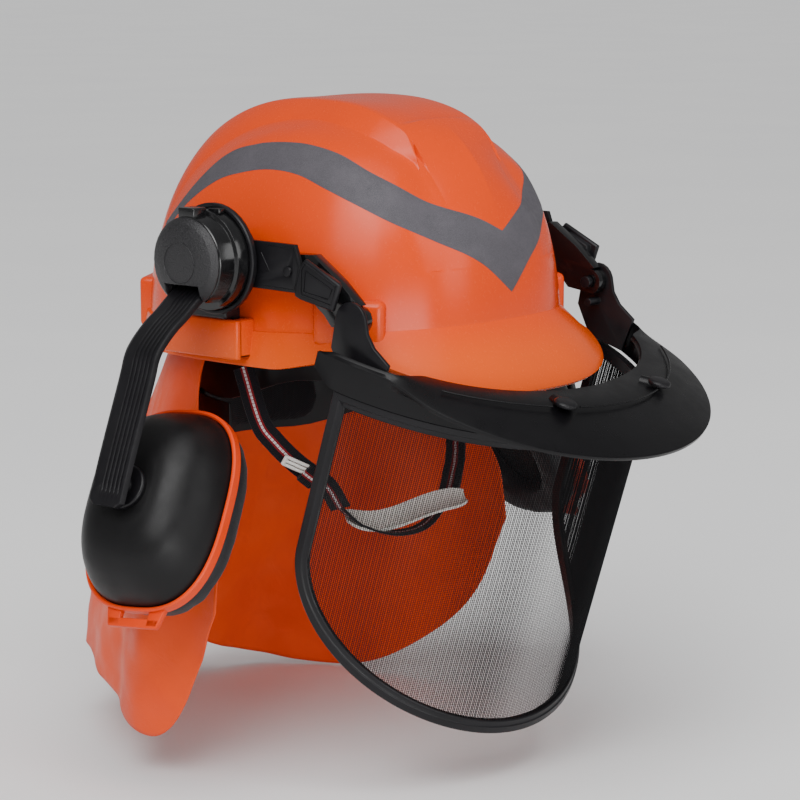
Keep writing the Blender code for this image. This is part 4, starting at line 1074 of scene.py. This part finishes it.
def build_muffs():
    for side_name, sign in SIDES:
        local = MuffFrame(sign)
        build_cup(side_name, local)
        build_arm(side_name, sign)
        refined(f"muff_adapter_{side_name}", 0.0005)
        refined(f"hub_housing_{side_name}", 0.0005, 24.0)
        refined(f"hub_cap_{side_name}", 0.0007, 24.0, 3)
        refined(f"cup_carrier_{side_name}", 0.0003)
        refined(f"cup_pivot_{side_name}", 0.0003, 24.0)
        circle = []
        for k in range(49):
            a = 2 * math.pi * k / 48
            circle.append((sign * 0.14598, HUB_Y + 0.0112 * math.cos(a), HUB_Z + 0.0112 * math.sin(a)))
        bits = [tube("circle", circle, 0.00028, "textured_black")]
        detail(joined(f"cap_ring_{side_name}", bits), f"hub_{side_name}", "textured_black")
        bits = [
            block(name, size, (sign * out, y, z), "black_gloss", bevel)
            for name, size, out, y, z, bevel in (
                ("lug", (0.0104, 0.0120, 0.0062), 0.1336, -0.0010, 0.0862, 0.0009),
                ("catch", (0.0046, 0.0085, 0.0030), 0.1236, -0.0095, 0.0872, 0.0006),
            )
        ]
        detail(joined(f"hub_lugs_{side_name}", bits), f"hub_{side_name}", "black_gloss")


def build_cup(side_name, local):
    sections = (
        (1.0, 0.0), (0.990, 0.004), (0.965, 0.008), (0.925, 0.013), (0.865, 0.0185), (0.775, 0.0245),
        (0.655, 0.0292), (0.50, 0.0325), (0.33, 0.0340),
    )
    rows = smooth_rows(sections, 40)
    outer = [local.oval(0.0422 * s, 0.0562 * s, d, power=2.75 + 0.35 * (1 - s)) for s, d in rows]
    inner = []
    for s, d in reversed(rows[::3]):
        power = 2.75 + 0.35 * (1 - s)
        depth = max(d - 0.0022, 0.0)
        inner.append(local.oval(0.0422 * s - 0.0024, 0.0562 * s - 0.0024, depth, power=power))
    verts, faces = loft(outer + inner, caps=False)
    count = len(outer[0])
    tip = len(outer) - 1
    faces = [f for f in faces if not (min(f) // count == tip and max(f) // count == tip + 1)]
    faces.append(tuple(range(tip * count, (tip + 1) * count)))
    faces.append(tuple(reversed(range((tip + 1) * count, (tip + 2) * count))))
    last = (len(outer) + len(inner) - 1) * count
    for i in range(count):
        j = (i + 1) % count
        faces.append((last + i, last + j, j, i))
    place(new_object(f"cup_{side_name}_fine", verts, faces, "cup_satin", 40.0), f"cup_shell_{side_name}")

    ring = []
    edges = ((0.0442, -0.0033), (0.0448, -0.0027), (0.0448, 0.0023), (0.0441, 0.0030), (0.0432, 0.0030))
    edges += ((0.0425, 0.0023), (0.0425, -0.0003), (0.0380, -0.0003), (0.0380, -0.0033))
    for w, d in edges:
        ring.append(local.oval(w, w + 0.0140, d))
    pieces = [new_object("ring", *loft(ring, closed=True), "trim_orange", 30.0)]
    for f0, f1, g0, g1, u0, u1 in (
        (-0.0195, -0.0095, -0.0165, -0.0090, -0.0560, -0.0665),
        (0.0095, 0.0195, 0.0090, 0.0165, -0.0560, -0.0665),
        (-0.0175, 0.0175, -0.0160, 0.0160, -0.0622, -0.0672),
    ):
        rows = []
        for o in (-0.0030, 0.0004):
            corners = ((f0, u0), (f1, u0), (g1, u1), (g0, u1))
            rows.append([local.at(f, u, o) for f, u in corners])
        pieces.append(soften(new_object("tab", *loft(rows), "trim_orange"), 0.0006, 2, 40.0, 40.0))
    place(joined(f"cup_ring_{side_name}_fine", pieces), f"cup_ring_{side_name}")

    section = 26
    rows = []
    for k in range(section):
        t = 2 * math.pi * k / section
        radial = 0.0324 + 0.0093 * signed_power(math.cos(t), 0.72)
        depth = -0.01165 + 0.00785 * signed_power(math.sin(t), 0.66)
        seam = 0.0007 * math.exp(-((depth + 0.0068) / 0.0007) ** 2) if math.cos(t) > 0 else 0.0
        rows.append(local.oval(radial - seam, radial + 0.0140 - seam, depth, power=2.65))
    made = new_object(f"cushion_{side_name}", *loft(rows, closed=True), "cushion_skin", 70.0)
    for v in made.data.vertices:
        away = (v.co - local.centre).dot(local.out)
        swell = 0.0005 * noise.noise(v.co * 130.0) + 0.0003 * noise.noise(v.co * 420.0)
        v.co += v.normal * swell * smoothstep(-0.0045, -0.009, away)
    place(made, f"ear_cushion_{side_name}")

    rows = []
    section = ((0.0318, 0.0026), (0.0336, 0.0020), (0.0340, 0.0040), (0.0330, 0.0110), (0.0308, 0.0130))
    for w, d in (*section, (0.0100, 0.0132)):
        rows.append(local.oval(w, w + 0.0140, d, 64))
    rows.insert(0, local.oval(0.0100, 0.0240, 0.0030, 64))
    made = new_object(f"foam_{side_name}", *loft(rows), "liner_foam", 70.0)
    place(made, f"foam_liner_{side_name}")


def build_arm(side_name, sign):
    """The sprung strap from hub to cup, ribbed along the front two thirds of its width."""
    points = spline([Vector((sign * x, HUB_Y, z)) for x, z in ARM_ROUTE], 100)
    profile = [(-0.0120, 0.0012), (-0.0116, 0.0003), (-0.0108, 0.0)]
    for k in range(5):
        start = -0.0104 + 0.0030 * k
        for step, depth in ((0.0004, 0.0), (0.0008, 0.0008), (0.0018, 0.0008), (0.0022, 0.0)):
            profile.append((start + step, depth))
    profile += [(0.0052, 0.0), (0.0056, 0.0004), (0.0106, 0.0004), (0.0110, 0.0), (0.0116, 0.0003)]
    profile.append((0.0120, 0.0012))
    profile += [(0.0120, 0.0038), (0.0112, 0.0045), (-0.0112, 0.0045), (-0.0120, 0.0038)]
    rings = []
    count = len(points)
    total = 0.0
    lengths = [0.0]
    for a, b in zip(points, points[1:]):
        total += (b - a).length
        lengths.append(total)
    for i, point in enumerate(points):
        ahead = (points[min(i + 1, count - 1)] - points[max(i - 1, 0)]).normalized()
        inward = ahead.cross(Vector((0, 1, 0)))
        if inward.x * sign > 0:
            inward = -inward
        left = total - lengths[i]
        shrink = 1.0 if left > 0.004 else 0.70 + 0.30 * math.sqrt(max(1 - (1 - left / 0.004) ** 2, 0.0))
        rib = smoothstep(0.004, 0.012, left) * smoothstep(0.006, 0.014, lengths[i])
        ring = []
        for w, depth in profile:
            face = depth if abs(w) > 0.0109 or depth > 0.002 else depth * rib
            ring.append(point + Vector((0, w * shrink, 0)) + inward * face)
        rings.append(ring)
    place(new_object(f"arm_{side_name}_fine", *loft(rings), "black_plastic", 32.0), f"muff_arm_{side_name}")


# ---------------------------------------------------------------- visor

TILT = math.radians(17.2)
RADIUS, FRAME_THICK, FRAME_WIDTH = 0.122, 0.0050, 0.0075
HALF_ANGLE, SIDE_LENGTH, LENGTH, CURVE = math.radians(79.5), 0.0935, 0.185, 1.9
LIFT = (-0.0528, 0.0564)


def visor_point(angle, radius, down):
    forward = Vector((0, -math.cos(TILT), -math.sin(TILT)))
    axis = Vector((0, math.sin(TILT), -math.cos(TILT)))
    top = Vector((0, -0.0695, 0.0033))
    across = Vector((1, 0, 0))
    return top + across * radius * math.sin(angle) + forward * radius * math.cos(angle) + axis * down


def visor_outline(top_count, side_count, count):
    a, drop, power = HALF_ANGLE, LENGTH - SIDE_LENGTH, 2 / CURVE
    points = [(-a + 2 * a * i / top_count, 0.0) for i in range(top_count)]
    points += [(a, SIDE_LENGTH * i / side_count) for i in range(side_count)]
    for i in range(count + 1):
        t = math.pi * i / count
        down = SIDE_LENGTH + drop * abs(math.sin(t)) ** power
        points.append((a * signed_power(math.cos(t), power), down))
    points += [(-a, SIDE_LENGTH * (side_count - i) / side_count) for i in range(1, side_count)]
    return points


def moved_in(outline, width):
    moved = []
    count = len(outline)
    for i, (angle, down) in enumerate(outline):
        before, after = outline[i - 1], outline[(i + 1) % count]
        first = Vector(((angle - before[0]) * RADIUS, down - before[1])).normalized()
        second = Vector(((after[0] - angle) * RADIUS, after[1] - down)).normalized()
        along = (first + second).normalized()
        inward = Vector((-along.y, along.x)) * width / max(along.dot(first), 0.5)
        moved.append((angle + inward.x / RADIUS, down + inward.y))
    return moved


def build_frame_and_screen():
    outline = visor_outline(80, 24, 110)
    low, high = RADIUS - FRAME_THICK, RADIUS
    section = (
        (0.0000, low + 0.0005), (0.0000, high - 0.0006), (0.0006, high), (0.0040, high),
        (0.0044, high - 0.0005), (0.0050, high - 0.0009), (0.0070, high - 0.0009), (0.0075, high - 0.0014),
        (0.0075, low + 0.0005), (0.0070, low), (0.0005, low),
    )
    shifted = [moved_in(outline, s) if s else outline for s, _ in section]
    rings = []
    for i in range(len(outline)):
        ring = []
        for line, (_, radius) in zip(shifted, section):
            angle, down = line[i]
            ring.append(visor_point(angle, radius, down))
        rings.append(ring)
    place(new_object("visor_frame_fine", *loft(rings, closed=True), "black_plastic", 34.0), "visor_frame")
    build_screen_wires()


def build_screen_wires():
    """Fine crossed wires. The upright ones are deeper and wider round the sides, to look denser there."""
    pitch = 0.00112
    inset = FRAME_WIDTH - 0.0010
    half, drop = HALF_ANGLE - inset / RADIUS, LENGTH - SIDE_LENGTH - inset
    middle = RADIUS - FRAME_THICK / 2
    verts, faces = [], []

    def run(points, deep, wide, sideways):
        """A three-sided wire: how deep it is from face to face and how wide across."""
        base = len(verts)
        for point, out in points:
            side = sideways(out)
            verts.append(point + out * deep * 0.5 + side * wide * 0.5)
            verts.append(point + out * deep * 0.5 - side * wide * 0.5)
            verts.append(point - out * deep * 0.5)
        for k in range(len(points) - 1):
            a = base + 3 * k
            for i in range(3):
                j = (i + 1) % 3
                faces.append((a + i, a + j, a + 3 + j, a + 3 + i))

    axis = Vector((0, math.sin(TILT), -math.cos(TILT)))
    columns = int(2 * half * middle / pitch)
    for c in range(columns):
        angle = -half + 2 * half * (c + 0.5 + 0.12 * math.sin(c * 2.4)) / columns
        bottom = SIDE_LENGTH + drop * max(1 - abs(angle / half) ** CURVE, 0.0) ** (1 / CURVE)
        out = (visor_point(angle, 1.0, 0) - visor_point(angle, 0.0, 0)).normalized()
        points = []
        for down in (FRAME_WIDTH - 0.0010, bottom):
            points.append((visor_point(angle, middle + 0.00008, down), out))
        crimp = 0.00016 + 0.00050 * smoothstep(6, 24, abs(math.degrees(angle)))
        wide = 0.00021 + 0.00018 * smoothstep(36, 60, abs(math.degrees(angle)))
        run(points, crimp, wide, lambda o: axis.cross(o).normalized())
    rows = int((LENGTH - 2 * FRAME_WIDTH) / pitch)
    for r in range(rows):
        down = FRAME_WIDTH - 0.0005 + pitch * (r + 0.5)
        below = max(down - SIDE_LENGTH, 0.0) / drop
        if below >= 1:
            continue
        reach = half * (1 - below**CURVE) ** (1 / CURVE)
        steps = max(int(reach / half * 52), 4)
        points = []
        for k in range(steps + 1):
            angle = -reach + 2 * reach * k / steps
            out = (visor_point(angle, 1.0, 0) - visor_point(angle, 0.0, 0)).normalized()
            points.append((visor_point(angle, middle - 0.00008, down), out))
        run(points, 0.00016, 0.00019, lambda o: axis)
    made = new_object("screen_wires", verts, faces, "screen_wire", 80.0)
    place(made, "visor_screen")


PEAK_TIP, PEAK_HALF_WIDTH, PEAK_CENTRE = 0.159, 0.116, 0.059


def peak_reach(angle):
    low, high = 0.0, 0.25
    for _ in range(30):
        r = (low + high) / 2
        x, q = r * math.sin(abs(angle)), r * math.cos(angle) - PEAK_CENTRE
        if (x / PEAK_HALF_WIDTH) ** 2 + (max(q, 0) / (PEAK_TIP - PEAK_CENTRE)) ** 2 < 1:
            low = r
        else:
            high = r
    return low


def build_browguard():
    rings = []
    count = 201
    wall, depth, top = RADIUS + 0.0003, 0.0026, -0.021
    for i in range(count):
        angle = math.radians(-85.7 + 171.4 * i / (count - 1))
        turn = abs(math.degrees(angle))
        grow = 1.0 - smoothstep(52, 76, turn)
        end = smoothstep(76, 85.7, turn)
        reach = wall + depth + max(peak_reach(angle) - wall - depth, 0.0) * grow
        lip = -0.0085 - 0.021 * (1 - math.cos(angle))
        ledge = 0.011 * (1.0 - smoothstep(57, 65, turn)) + 0.009 * (1.0 - smoothstep(5, 57, turn))
        edge = top + (lip - top) * grow
        foot = -0.0010 - 0.0075 * end**3
        head = top + 0.0030 * end**4
        rings.append(
            [
                visor_point(angle, wall, foot),
                visor_point(angle, wall + depth, foot),
                visor_point(angle, wall + depth, top + 0.0060 + 0.0050 * grow),
                visor_point(angle, reach - 0.0006 * grow, edge + 0.0050),
                visor_point(angle, reach, edge + 0.0030),
                visor_point(angle, reach - 0.0014 * grow, edge + 0.0030 - 0.0006 * grow),
                visor_point(angle, wall + 0.0021, head + 0.0012),
                visor_point(angle, wall + 0.0008 - ledge, head),
                visor_point(angle, wall - ledge, head + 0.0028),
                visor_point(angle, wall, head + 0.0044),
            ]
        )
    made = soften(new_object("browguard_fine", *loft(rings), "brow_satin", 30.0), 0.0005, 2, 30.0, 34.0)
    pieces = [made]
    for sign in (-1, 1):
        step = []
        for i in range(41):
            turn = 24.5 + 28.0 * i / 40
            level = top - 0.0002 + 0.0006 * smoothstep(30, 52, turn)
            step.append(visor_point(sign * math.radians(turn), wall + 0.0040, level))
        pieces.append(tube("step", step, 0.0005, "brow_satin", 8))
        angle = sign * math.radians(20.5)
        tail = [visor_point(angle, wall + 0.0012 - 0.0012 * k, top + 0.0012 + 0.0001 * k) for k in range(9)]
        pieces.append(tube("tail", tail, 0.0040, "brow_satin", 16))
    bearings = [math.radians(-16.5 + 33 * i / 40) for i in range(41)]
    middle = [visor_point(bearing, wall + 0.0040, top - 0.0002) for bearing in bearings]
    pieces.append(tube("step", middle, 0.0005, "brow_satin", 8))
    place(joined("browguard_whole", pieces), "browguard")
    for side_name, _ in SIDES:
        refined(f"browguard_stud_{side_name}", 0.0004, 15.0)


def outline_bead(name, points, x, radius):
    """A raised line on a plate of constant x, from (y, z) points."""
    return tube(name, [(x, y, z) for y, z in points], radius, "black_plastic")


SIDE_PIECES = (
    ("visor_bracket", 0.0005), ("visor_rivet", 0.0003), ("visor_link", 0.0006), ("visor_clip", 0.0005),
    ("visor_leaf", 0.0005),
)
BRACKET_RIM = (
    (-0.0375, 0.0698), (-0.0568, 0.0694), (-0.0605, 0.0598), (-0.0574, 0.0468), (-0.0335, 0.0474),
)
BRACKET_MARK = ((-0.0335, 0.0655), (-0.0392, 0.0560), (-0.0330, 0.0548))
CLIP_OUTER = (
    (-0.0655, 0.0455), (-0.0660, 0.0590), (-0.0690, 0.0625), (-0.0905, 0.0520), (-0.0868, 0.0415),
    (-0.0655, 0.0455),
)
CLIP_INNER = ((-0.0675, 0.0470), (-0.0690, 0.0585), (-0.0880, 0.0500), (-0.0850, 0.0445), (-0.0675, 0.0470))


def build_visor_sides():
    ring = []
    for k in range(25):
        a = 2 * math.pi * k / 24
        ring.append((LIFT[0] + 0.0026 * math.cos(a), LIFT[1] + 0.0026 * math.sin(a)))
    for side_name, sign in SIDES:
        for node, width in SIDE_PIECES:
            refined(f"{node}_{side_name}", width)
        face = sign * 0.11375
        bits = [outline_bead("line", line, face, 0.00028) for line in (BRACKET_RIM, BRACKET_MARK, ring)]
        detail(joined(f"bracket_lines_{side_name}", bits), "helmet", "black_plastic")
        face = sign * 0.11755
        bits = [outline_bead("line", line, face, 0.0004) for line in (CLIP_OUTER, CLIP_INNER)]
        detail(joined(f"clip_lines_{side_name}", bits), "visor_links", "black_plastic")


# ---------------------------------------------------------------- light, floor and camera


def area_light(name, place_at, target, size, size_y, power):
    lamp = bpy.data.lights.new(name, "AREA")
    lamp.shape = "RECTANGLE"
    lamp.size, lamp.size_y = size, size_y
    lamp.energy = power
    made = bpy.data.objects.new(name, lamp)
    bpy.context.scene.collection.objects.link(made)
    made.location = place_at
    made.rotation_euler = (Vector(target) - Vector(place_at)).to_track_quat("-Z", "Y").to_euler()
    made.visible_camera = False


def build_studio():
    world = bpy.data.worlds.new("studio")
    bpy.context.scene.world = world
    world.use_nodes = True
    back = world.node_tree.nodes["Background"]
    back.inputs["Color"].default_value = (1.0, 1.0, 1.0, 1.0)
    back.inputs["Strength"].default_value = 0.30
    aim = (0.0, -0.03, -0.03)
    area_light("key", (-2.0, -0.7, 1.5), aim, 1.5, 1.3, 26.0)
    area_light("front", (0.5, -2.2, 0.9), aim, 0.9, 1.4, 12.0)
    area_light("fill", (-1.0, -1.7, -0.05), (0.0, 0.05, -0.10), 1.3, 0.6, 17.0)
    area_light("top", (-0.3, -0.6, 2.2), aim, 1.8, 1.8, 9.0)
    sky = bpy.data.lights.new("sky", "SUN")
    sky.energy = 2.3
    sky.angle = math.radians(50)
    made = bpy.data.objects.new("sky", sky)
    bpy.context.scene.collection.objects.link(made)
    made.rotation_euler = Vector((0.45, 0.35, -0.82)).to_track_quat("-Z", "Y").to_euler()
    floor_z = CAD_LOW.z - 0.0015
    look = Look("studio_floor", (0.86, 0.86, 0.86), 0.75)
    cloud = look.ranged(look.noise(3.0, 2.0), 0.3, 0.7, 0.0, 1.0)
    look.colour(look.mix(cloud, (0.87, 0.87, 0.87), (0.85, 0.85, 0.855)))
    LOOKS["floor"] = look.material
    verts = [(-30.0, -30.0, floor_z), (30.0, -30.0, floor_z), (30.0, 30.0, floor_z), (-30.0, 30.0, floor_z)]
    new_object("floor", verts, [(0, 1, 2, 3)], "floor", 80.0)
    lens = bpy.data.cameras.new("view")
    lens.lens = 121.5
    lens.sensor_width = 36.0
    lens.clip_start = 0.05
    made = bpy.data.objects.new("view", lens)
    bpy.context.scene.collection.objects.link(made)
    made.location = (-1.1789, -1.0287, 0.2408)
    aim = Vector((0.0, -0.036, -0.031))
    made.rotation_euler = (aim - made.location).to_track_quat("-Z", "Y").to_euler()
    bpy.context.scene.camera = made


build_studio()
shell, shell_surface = build_shell()
build_tape(shell_surface)
build_inside()
build_chin()
build_cape()
build_muffs()
build_frame_and_screen()
build_browguard()
build_visor_sides()
